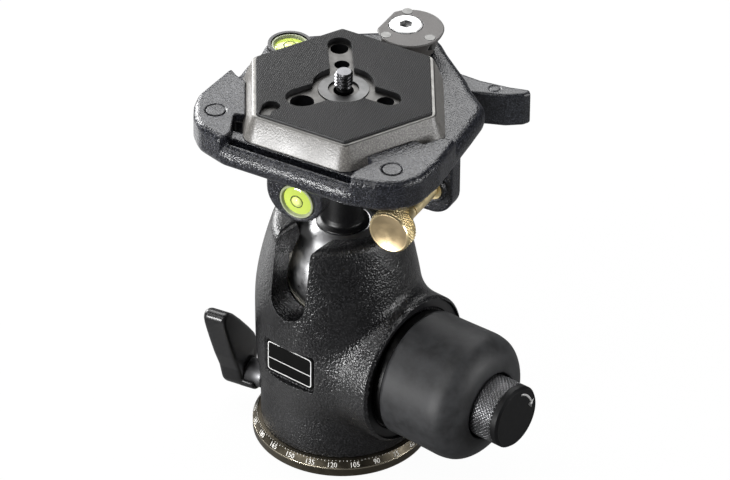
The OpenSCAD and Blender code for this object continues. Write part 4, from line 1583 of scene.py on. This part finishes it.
@dataclass
class PanLock(Part):
    """The pan lock's lever with its hub.

    Attributes:
        start: Back face of the lever along the lock's axis.
        boss: Radius of the lever's skirt about the axis.
        hub: Radius of the hub.
    """

    start: float = 36.0
    boss: float = 6.0
    hub: float = 4.8

    def build(self) -> None:
        """Makes the lever and its hub."""
        start, hub = self.start, self.hub
        axis = Axis.PAN_LOCK.at(z=11)
        place = axis @ Matrix.Rotation(QUARTER, 4, "Z")
        corners = [
            (0, -6.2), (4.2, -5.2), (6.4, -1), (6.4, 6), (5.3, 12.5), (0.4, 18.6),
            (-5.7, 25.6), (-11.0, 31.2), (-14.6, 34.2), (-17.2, 34.8), (-18.8, 33.8),
            (-19.2, 32.0), (-18.6, 29.5), (-17.0, 25.2), (-14.5, 19.0), (-11.5, 12.0),
            (-7.8, 4.6), (-6.6, 0.8), (-5.6, -2.4), (-3.4, -5.2)]
        outline = fillet([(-x, y, 6.0) for x, y in corners], True, 4)
        lever = pillow("pan_lever", outline, start, start + 8.6, 1.7, 1.2, place)
        bend = arc(self.boss, 1.04 * 180, 1.96 * 180, 20)
        skirt = fillet([(x, y, 0.5) for x, y in bend], True, 1)
        low = pillow("tool", skirt, start - 4.2, start + 2, 0.4, 0.8, place)
        lever = soften(join([lever, low]), 0.28, 4)
        combine(
            lever, "DIFFERENCE", rod(hub + 0.3, start - 6, start - 0.02, axis),
            rod(4.63, start + 5.6, start + 14, axis), rod(3.03, start - 6, start + 14, axis, 48))
        slim(lever, 0.4)
        show(lever, [self.finish.pan_lever], "pan_lever", "pan_lever_coat", "pan_lock_lever")
        line = [(3.05, 29.3), (hub - 0.4, 29.3, 0.2), (hub, 29.8, 0.2), (hub, start - 0.05),
                (3.05, start - 0.05), (3.05, 29.3)]
        show(lathe("pan_hub", line, axis, 96), [self.finish.hub_metal],
             "pan_lever", "steel", "pan_lock_hub")


@dataclass
class PanBase(Part):
    """The anodised base with its degree scale.

    Attributes:
        radius: Radius of the base.
        height: Height of the base.
        edge: Height where the scale's slope begins.
        slope_in: How far the slope leans in.
        start_at: Where the number 180 stands, in degrees seen from above.
        lift: How far the print stands off the slope.
    """

    radius: float = 31.0
    height: float = 6.0
    edge: float = 3.5
    slope_in: float = 1.6
    start_at: float = -117.4
    lift: float = 0.03

    def ring(self) -> None:
        """Makes the turned ring."""
        r, h, edge = self.radius, self.height, self.edge
        shoulder = r - self.slope_in
        piece = lathe(
            "panning_base",
            [(16.05, 3.02), (16.05, 0.1), (16.3, 0), (r - 0.5, 0, 0.2), (r - 0.05, 0.45, 0.2),
             (r - 0.05, edge - 0.35), (r - 0.02, edge - 0.28), (r - 0.02, edge),
             (r - 0.14, edge + 0.12), (shoulder, h - 0.1, 0.2), (shoulder - 0.3, h),
             (22.05, h), (22.0, h - 0.5), (9.1, h - 0.5), (9.05, h - 0.6), (9.05, 3.05),
             (16.05, 3.02)], None, 256)

        def part(face: bpy.types.MeshPolygon) -> int:
            """Tells the bright edge and the slope from the rest.

            Args:
                face: A face of the ring.

            Returns:
                1 for the bright edge, 2 for the slope, else 0.
            """
            z = face.center.z / MM
            out = math.hypot(face.center.x, face.center.y) / MM
            if out > r - 0.2 and edge - 0.4 < z < edge + 0.1:
                return 1
            return 2 if out > shoulder - 0.4 and z > edge + 0.1 else 0

        show(piece, [self.finish.base, self.finish.base_edge, self.finish.base_slope], "base",
             "base_anodised", "base_ring", crisp=35, pick=part)

    def on_slope(self, degrees: float, across: float, up: float) -> tuple[float, float, float]:
        """Finds a point on the scale's slope.

        Args:
            degrees: Where round the base, seen from above.
            across: Shift along the rim in millimetres.
            up: Distance up the slope from the edge in millimetres.

        Returns:
            The point in millimetres, a hair above the surface.
        """
        rise = self.height - self.edge
        length = math.hypot(rise, self.slope_in)
        out = self.radius - 0.06 - self.slope_in * up / length + self.lift * rise / length
        spot = polar(out, degrees + math.degrees(across / self.radius))
        return (*spot, self.edge + rise * up / length + self.lift * self.slope_in / length)

    def number(self, value: int, degrees: float) -> Piece:
        """Makes one number of the scale, bent round the slope.

        Args:
            value: The number.
            degrees: Where round the base.

        Returns:
            Its mesh.
        """
        curve = bpy.data.curves.new("digits", "FONT")
        curve.body = str(value)
        curve.size = 2.5
        curve.align_x = "CENTER"
        curve.resolution_u = 4
        text = bpy.data.objects.new("digits", curve)
        bpy.context.scene.collection.objects.link(text)
        bpy.context.view_layer.update()
        graph = bpy.context.evaluated_depsgraph_get()
        mesh = bpy.data.meshes.new_from_object(text.evaluated_get(graph))
        verts = [self.on_slope(degrees, v.co.x, 0.45 + v.co.y) for v in mesh.vertices]
        faces = [list(face.vertices) for face in mesh.polygons]
        bpy.data.objects.remove(text)
        bpy.data.curves.remove(curve)
        bpy.data.meshes.remove(mesh)
        return new_mesh("scale_marks", verts, faces)

    def marks(self) -> None:
        """Makes the numbers and ticks of the scale."""
        start = self.start_at
        pieces = [self.number(abs(180 - 15 * k), start + 15 * k) for k in range(24)]
        verts, half = [], 0.07
        for k in range(144):
            low = 2.95 - (0.3 if k % 2 else 0.55)
            corners = ((-half, low), (half, low), (half, 2.9), (-half, 2.9))
            verts += [self.on_slope(start + 2.5 * k, *corner) for corner in corners]
        ticks = [range(k, k + 4) for k in range(0, len(verts), 4)]
        pieces.append(new_mesh("scale_marks", verts, ticks))
        show(join(pieces), [self.finish.print], "base", "base_anodised")

    def build(self) -> None:
        """Makes the ring and its scale."""
        self.ring()
        self.marks()


@dataclass
class CameraPlate(Part):
    """The hexagonal camera plate with its rubber pad and screw.

    Attributes:
        half: Half width at the foot.
        lean: How far each side leans in.
        low: Height of the foot.
        high: Height of the metal rim.
        pad_top: Height of the rubber's surface.
        screw: Radius of the camera screw.
        tip: Height of the screw's tip.
        pitch: Pitch of its thread.
        depth: Depth of its thread.
    """

    half: float = 34.3
    lean: float = 3.5
    low: float = 133.3
    high: float = 142.0
    pad_top: float = 142.9
    screw: float = 3.175
    tip: float = 148.1
    pitch: float = 1.27
    depth: float = 0.62

    def hexagon(self, half: float, corner: float) -> list[Point2]:
        """Draws a hexagon of a given half width with rounded corners."""
        points = arc(half / math.cos(math.pi / 6), 0, 300, 5)
        return fillet([(*point, corner) for point in points], True, 8)

    def metal(self) -> None:
        """Makes the cast plate with its recess, pockets and bores."""
        low, high = self.low, self.high
        piece = pillow("camera_plate", self.hexagon(self.half - 0.02, 7.0), low, high,
                       0.45, 0.6, in_head(), self.lean)
        recess = self.hexagon(self.half - self.lean - 1.2, 1.6)
        holes = [(-13.2, 20.6, 3.1), (-7.7, 12.6, 2.6), (-8.4, -13.6, 4.1), (16.0, 0.3, 3.0)]
        combine(
            piece, "DIFFERENCE", prism("tool", recess, high - 1.1, high + 4, in_head()),
            bore(0, 0, 10, low - 1, high - 3.8), bore(0, 0, self.screw + 0.33, low - 2, high + 4),
            bore(0, 0, 8.7, high - 1.5, high + 3),
            *[bore(*hole, low - 2, high + 4) for hole in holes],
            bore(35.4, 0.5, 1.85, low - 2, low + 2.2))

        def part(face: bpy.types.MeshPolygon) -> int:
            """Tells the parts of the plate that get a material of their own.

            Args:
                face: A face of the plate.

            Returns:
                1 for the recess's floor, 2 for the rim, 3 in the holes, whose walls get the black
                trim as painted shade, else 0.
            """
            z, out = face.center.z / MM, math.hypot(face.center.x, face.center.y) / MM
            if face.normal.z > 0.9 and high - 1.6 < z < high - 1.0:
                return 1
            # Painted shade: the walls inside the bores and holes are coloured black.
            if out < 28 and low + 0.5 < z < high - 1.15:
                return 3
            return 2 if face.normal.z > 0.2 and z > high - 0.5 else 0

        coats = [
            self.finish.plate, self.finish.plate_floor, self.finish.plate_rim, self.finish.trim]
        show(piece, coats, "head", "plate_casting", "hex_plate", crisp=35, pick=part)

    def pad(self) -> None:
        """Makes the rubber pad with its star-shaped window."""
        low, high = self.high - 4, self.pad_top + 4
        piece = pillow("ribbed_pad", self.hexagon(self.half - self.lean - 1.26, 1.5),
                       self.high - 1.06, self.pad_top, 0.3, 0, in_head())
        arms = [
            prism("tool", [(0, shift - half), *arc(half, -90, 90, 16, reach, shift),
                           (0, shift + half)], low, high,
                  in_head() @ Matrix.Rotation(math.radians(degrees), 4, "Z"))
            for degrees, reach, half, shift in (
                (122.6, 24.4, 4.1, 0), (-121.7, 16.0, 5.6, 0), (0, 17.6, 4.0, 0.3))
        ]
        notch = [(-16.2, -29.6, 0.4), (-12.3, -28.6, 0.4), (-13.9, -22.8, 0.4),
                 (-17.8, -23.8, 0.4)]
        combine(
            piece, "DIFFERENCE", bore(0, 0, 10.6, low, high), *arms,
            bore(-14.7, -23.3, 2.9, low, high),
            prism("tool", fillet(notch, True), low, high, in_head()))
        show(piece, [self.finish.pad, self.finish.pad_side], "head", "pad_rubber", "rubber_pad",
             crisp=40, pick=lambda face: int(abs(face.normal.z) < 0.5))

    def thread(self) -> None:
        """Makes the camera screw with its thread."""
        low, high, around = self.high + 0.2, self.tip - 0.45, 64
        rows, root = 90, self.screw - self.depth
        verts: list[tuple[float, float, float]] = []
        for j in range(rows + 1):
            z = low + (high - low) * j / rows
            fade = min(1.0, (z - low) / 0.7)
            for i in range(around):
                phase = (z / self.pitch - i / around) % 1.0
                groove = max(0.0, 1 - abs(phase - 0.5) / 0.42)
                r = self.screw - 0.04 - self.depth * min(1.0, 1.15 * groove)
                r = root * (1 - fade) + r * fade
                a = 2 * math.pi * i / around
                verts.append((r * math.cos(a), r * math.sin(a), z))
        start = len(verts)
        verts += [(x * 0.86, y * 0.86, self.tip - 0.04) for x, y, _ in verts[-around:]]
        verts.append((0, 0, self.tip))
        faces = walls(rows + 1, around)
        faces += [(start + i, start + (i + 1) % around, start + around) for i in range(around)]
        coil = new_mesh("tripod_screw", verts, faces, in_head())
        foot, neck = self.low + 0.8, self.high - 4.5
        shank = lathe("tripod_screw", [
            (0, foot), (9.1, foot, 0.3), (9.4, foot + 0.4), (9.4, neck, 0.3),
            (9.1, neck + 0.3), (root, neck + 0.3), (root, low)], in_head(), 64)
        show(join([coil, shank]), [self.finish.black_steel], "camera_screw", "bright_steel",
             "camera_screw", crisp=40)

    def build(self) -> None:
        """Makes the plate, the pad and the screw."""
        self.metal()
        self.pad()
        self.thread()


@dataclass
class BallAndNeck(Part):
    """The polished ball, its neck and the hub of the head.

    Attributes:
        radius: Radius of the ball.
        flat: Height of the flat on top of the ball.
        neck: Radius of the neck.
        hub_low: Height of the hub's underside.
        hub: Radius of the hub's underside.
        top: Height where the hub meets the body.
    """

    radius: float = 20.0
    flat: float = 87.0
    neck: float = 7.1
    hub_low: float = 106.3
    hub: float = 12.6
    top: float = 125.0

    def build(self) -> None:
        """Makes the three turned pieces."""
        r, centre = self.radius - 0.02, BALL_Z
        end = math.degrees(math.asin((self.flat - centre) / r) - 0.03)
        bend = arc(r, -90, end, 60, 0, centre)[1:]
        ball = lathe(
            "pivot_ball",
            [(0, centre - r), *bend, (bend[-1][0] - 0.45, self.flat), (3.05, self.flat),
             (3.05, centre - 3.5), (0, centre - 3.5)], None, 160)
        show(ball, [self.finish.ball], "ball", "ball_polish", "ball", crisp=25)
        n, f, h = self.neck, self.flat + 0.02, self.hub_low - 0.3
        stem = lathe("neck_stem", [
            (3.05, f), (n + 2.15, f, 0.1), (n + 2.1, f + 0.5, 0.3), (n + 0.35, f + 1.6, 1.2),
            (n, f + 3.4, 1.0), (n, h - 0.4, 0.2), (n - 0.35, h), (5.0, h), (5.0, h + 8),
            (3.05, h + 8), (3.05, f)])
        show(stem, [self.finish.neck], "ball", "neck_coat", "neck", crisp=35)
        b, low, top = self.hub, self.hub_low, self.top
        hub = lathe("head_hub", [
            (5.05, low), (b - 0.2, low, 0.3), (b + 0.5, low + 0.7, 0.4),
            (b + 3.35, top - 4, 1.5), (b + 3.35, top - 0.02), (8.03, top - 0.02),
            (8.03, low + 7.42), (5.05, low + 7.42), (5.05, low)])
        spots = [Matrix.Translation((*polar(12, 90 + 120 * k), 0)) for k in range(3)]
        holes = join([rod(2.05, top - 8, top + 5, spot, 32) for spot in spots])
        combine(hub, "DIFFERENCE", holes)
        show(hub, [self.finish.hub], "head", "neck_coat", "qr_hub", crisp=35)


@dataclass
class CatchKnob(Part):
    """The brass pull knob of the safety catch.

    Attributes:
        radius: Radius of the knob.
        face: How far the face stands from the head's middle.
        at: Place of its axis, to the right and up.
    """

    radius: float = 7.8
    face: float = 35.0
    at: Point2 = (36.9, 115.7)

    def build(self) -> None:
        """Makes the knob with its knurled rim."""
        r = self.radius
        place = in_head(self.at[0], -self.face, self.at[1]) @ Matrix.Rotation(-QUARTER, 4, "X")
        face = lathe("catch_pull", [
            (0, 0.12), (r - 1.1, 0.12), (r - 0.95, 0.02), (r - 0.6, 0.02, 0.1),
            (r - 0.42, 0.75)], place, 160)
        back = lathe("catch_pull", [
            (r - 0.42, 5.5), (r - 0.8, 6.4, 0.4), (5.0, 8.0, 1.5), (3.4, 10.5, 1.5),
            (2.6, 13.5, 1.0), (2.6, 14.9, 0.2), (1.05, 14.95), (1.05, 4), (0, 4)], place, 96)
        rim = knurl("catch_pull", r - 0.42, 0.4, 0.75, 5.5, 38, place)
        axis = place.to_3x3() @ Vector((0, 0, 1))

        def spun(item: bpy.types.MeshPolygon) -> int:
            """Returns 1 for the knob's flat face and 0 for the rest."""
            depth = (item.center / MM - place.translation).dot(axis)
            return int(depth < 0.3 and abs(item.normal.dot(axis)) > 0.9)

        brass = [self.finish.brass, self.finish.brass_face]
        show(join([face, back, rim]), brass, "plunger", "brass", "safety_knob", crisp=40, pick=spun)


@dataclass
class CamLever(Part):
    """The lever under the body that turns the cam.

    Attributes:
        low: Height of its underside.
        high: Height of its top.
        pivot: How far back its axis stands.
    """

    low: float = 111.0
    high: float = 124.0
    pivot: float = 43.5

    def build(self) -> None:
        """Makes the lever and dresses it."""
        low, high = self.low, self.high
        corners = [
            (0, -9.2, 3.0), (7, -7.1, 3.0), (18, -4.6, 3.0), (29.4, -0.6, 3.0),
            (37.9, 2.5, 3.0), (43.0, 6.1, 3.0), (44.3, 8.5, 0.8), (43.0, 10.1, 0.8),
            (36.3, 8.3, 5.0), (25.7, 6.9, 5.0), (14, 7.5, 5.0), (0, 9.2, 5.0)]
        place = in_head(0, self.pivot)
        arm = pillow("cam_handle", fillet(corners, True, 4), low, high, 1.3, 1.2, place)
        boss = [(0, low + 0.05), (9.2, low + 0.05, 1.0), (9.2, high, 0.8), (0, high)]
        combine(arm, "UNION", lathe("tool", boss, place, 96))
        mark = [(1.6, high - 0.5), (2.2, high - 0.5), (2.2, high + 1), (1.6, high + 1),
                (1.6, high - 0.5)]
        combine(arm, "DIFFERENCE", rod(3.55, low + 1, high + 3, place, 48),
                lathe("tool", mark, place @ Matrix.Translation((32.6, 4.5, 0)), 48))
        slim(soften(arm, 0.26, 2), 0.35)
        show(arm, [self.finish.cam_lever], "cam", "lever_coat", "cam_lever")


@dataclass
class Level(Part):
    """A round bubble level.

    Attributes:
        name: Which level it is.
        place: Its axis, with the face at height 0 and the level below it.
        radius: Outer radius of the vial.
        depth: How deep the vial goes.
    """

    name: str
    place: Matrix
    radius: float
    depth: float

    def build(self) -> None:
        """Makes the rim, the liquid, its bubble and the ring round it."""
        r, deep = self.radius, -self.depth
        dome = [((r - 1.0) * x, y - 1.3) for x, y in arc(1.0, 0, 81, 9)]
        rim = [(0, deep), (r, deep), (r, -0.3, 0.25), (r - 0.3, 0, 0.2), (r - 0.75, 0, 0.2),
               (r - 1.0, -0.45), (r - 1.1, -1.4), (0, -1.4)]
        liquid = [(0, -1.38), (r - 1.0, -1.38), *dome, (0, -0.3)]
        ring = [(2.05, -0.385), (2.38, -0.455), (2.38, -0.335), (2.05, -0.275), (2.05, -0.385)]
        bubble = [(0, -0.35), (1.75, -0.42), (1.75, -0.30), (0, -0.24)]
        parts = (
            ("rim", rim, 96, self.finish.vial_rim, [f"{self.name}_vial"]),
            ("liquid", liquid, 96, self.finish.fluid, []),
            ("ring", ring, 64, self.finish.trim, []),
            ("bubble", bubble, 64, self.finish.bubble, []),
        )
        for name, line, count, material, nodes in parts:
            piece = lathe(f"{self.name}_{name}", line, self.place, count)
            show(piece, [material], "head", "vial", *nodes)


@dataclass
class Trim(Part):
    """The label plate and the ring in the boss.

    Attributes:
        face: Where the label's back stands in front of the pan axis.
        wide: Width of the label.
        tall: Height of the label.
        middle: Height of the label's middle.
    """

    face: float = 28.3
    wide: float = 20.6
    tall: float = 13.2
    middle: float = 42.0

    def frame_line(self, shrink: float, corner: float) -> list[Point2]:
        """Draws a rounded rectangle inside the label's edge."""
        w, h = self.wide / 2 - shrink, self.tall / 2 - shrink
        return fillet([(x * w, self.middle + y * h, corner) for x, y in CORNERS], True, 8)

    def build(self) -> None:
        """Makes the label with its printed border, and the ring."""
        plate = pillow("label_blank", self.frame_line(0.03, 1.6), self.face, self.face + 0.46,
                       0.15, 0, FRONT_PLACE)
        show(plate, [self.finish.label], "housing", "black_trim", "label_plate", crisp=40)
        loops = [self.frame_line(0.75, 1.3), self.frame_line(1.08, 1.0)]
        w, at = self.wide / 2 - 1.0, self.middle - 0.9
        line = [(x * w, at + y * 0.15) for x, y in CORNERS]
        depth, parts = self.face + 0.49, []
        for outline, faces in (
            ([*loops[0], *loops[1]], walls(1, len(loops[0]))), (line, [range(4)])
        ):
            verts = [(x, y, depth) for x, y in outline]
            parts.append(new_mesh("label_border", verts, faces, FRONT_PLACE))
        show(join(parts), [self.finish.white], "housing", "black_trim")
        ring = lathe("boss_seal", [
            (22.4, 30.45), (25.95, 30.45), (25.95, 31.0, 0.2), (25.5, 31.08, 0.2),
            (22.8, 31.08, 0.3), (22.4, 30.8), (22.4, 30.45)], KNOB_PLACE, 160)
        show(ring, [self.finish.trim], "housing", "black_trim", "boss_ring")


def dress_cad(finish: Finish) -> None:
    """Gives the CAD nodes that stay visible their finishes.

    Args:
        finish: The finishes.
    """
    plan = {
        finish.machined: (
            "pan_shaft housing_floor hydraulic_block master_piston brake_piston"),
        finish.steel: (
            "lock_spindle friction_spindle friction_spring pan_lock_spindle neck_stud "
            "hub_bolts base_screws floor_screws knob_grub_screws pan_retaining_ring "
            "cam_shaft cam_spring plunger_rod plunger_spring catch_pin oil_plug"),
        finish.dull: "pan_lock_cap screw_ring",
        finish.bright: "cam_screw",
        finish.pin: "cam_pins",
        finish.brass: "plunger_sleeve spindle_bush pan_brake_shoe",
        finish.seal: "master_piston_seal brake_piston_seal",
        finish.liner: "ball_liner upper_seat brake_cup pan_washer",
        finish.trim: "top_level_ring",
        finish.cam: "cam_disc",
        finish.knob_core: "knob_core",
    }
    for material, names in plan.items():
        for name in names.split():
            dress(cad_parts[name], material)


def main() -> None:
    """Builds the stage and every piece of the ball head, in order."""
    logging.basicConfig(level=logging.INFO, format="%(name)s: %(message)s")
    Stage().build()
    finish = Finish()
    dress_cad(finish)
    order = (
        Housing, PlateHolder, LockKnob, PanLock, PanBase, CameraPlate, BallAndNeck, CatchKnob,
        CamLever, Trim,
    )
    for part in order:
        part(finish).build()
    Level(finish, "front_level", in_head() @ Axis.FRONT.at(0, -32.4, 114), 6.5, 5.3).build()
    Level(finish, "top_level", in_head(-34.6, 24.3, 133.6), 6.55, 6.6).build()


if __name__ == "__main__":
    main()
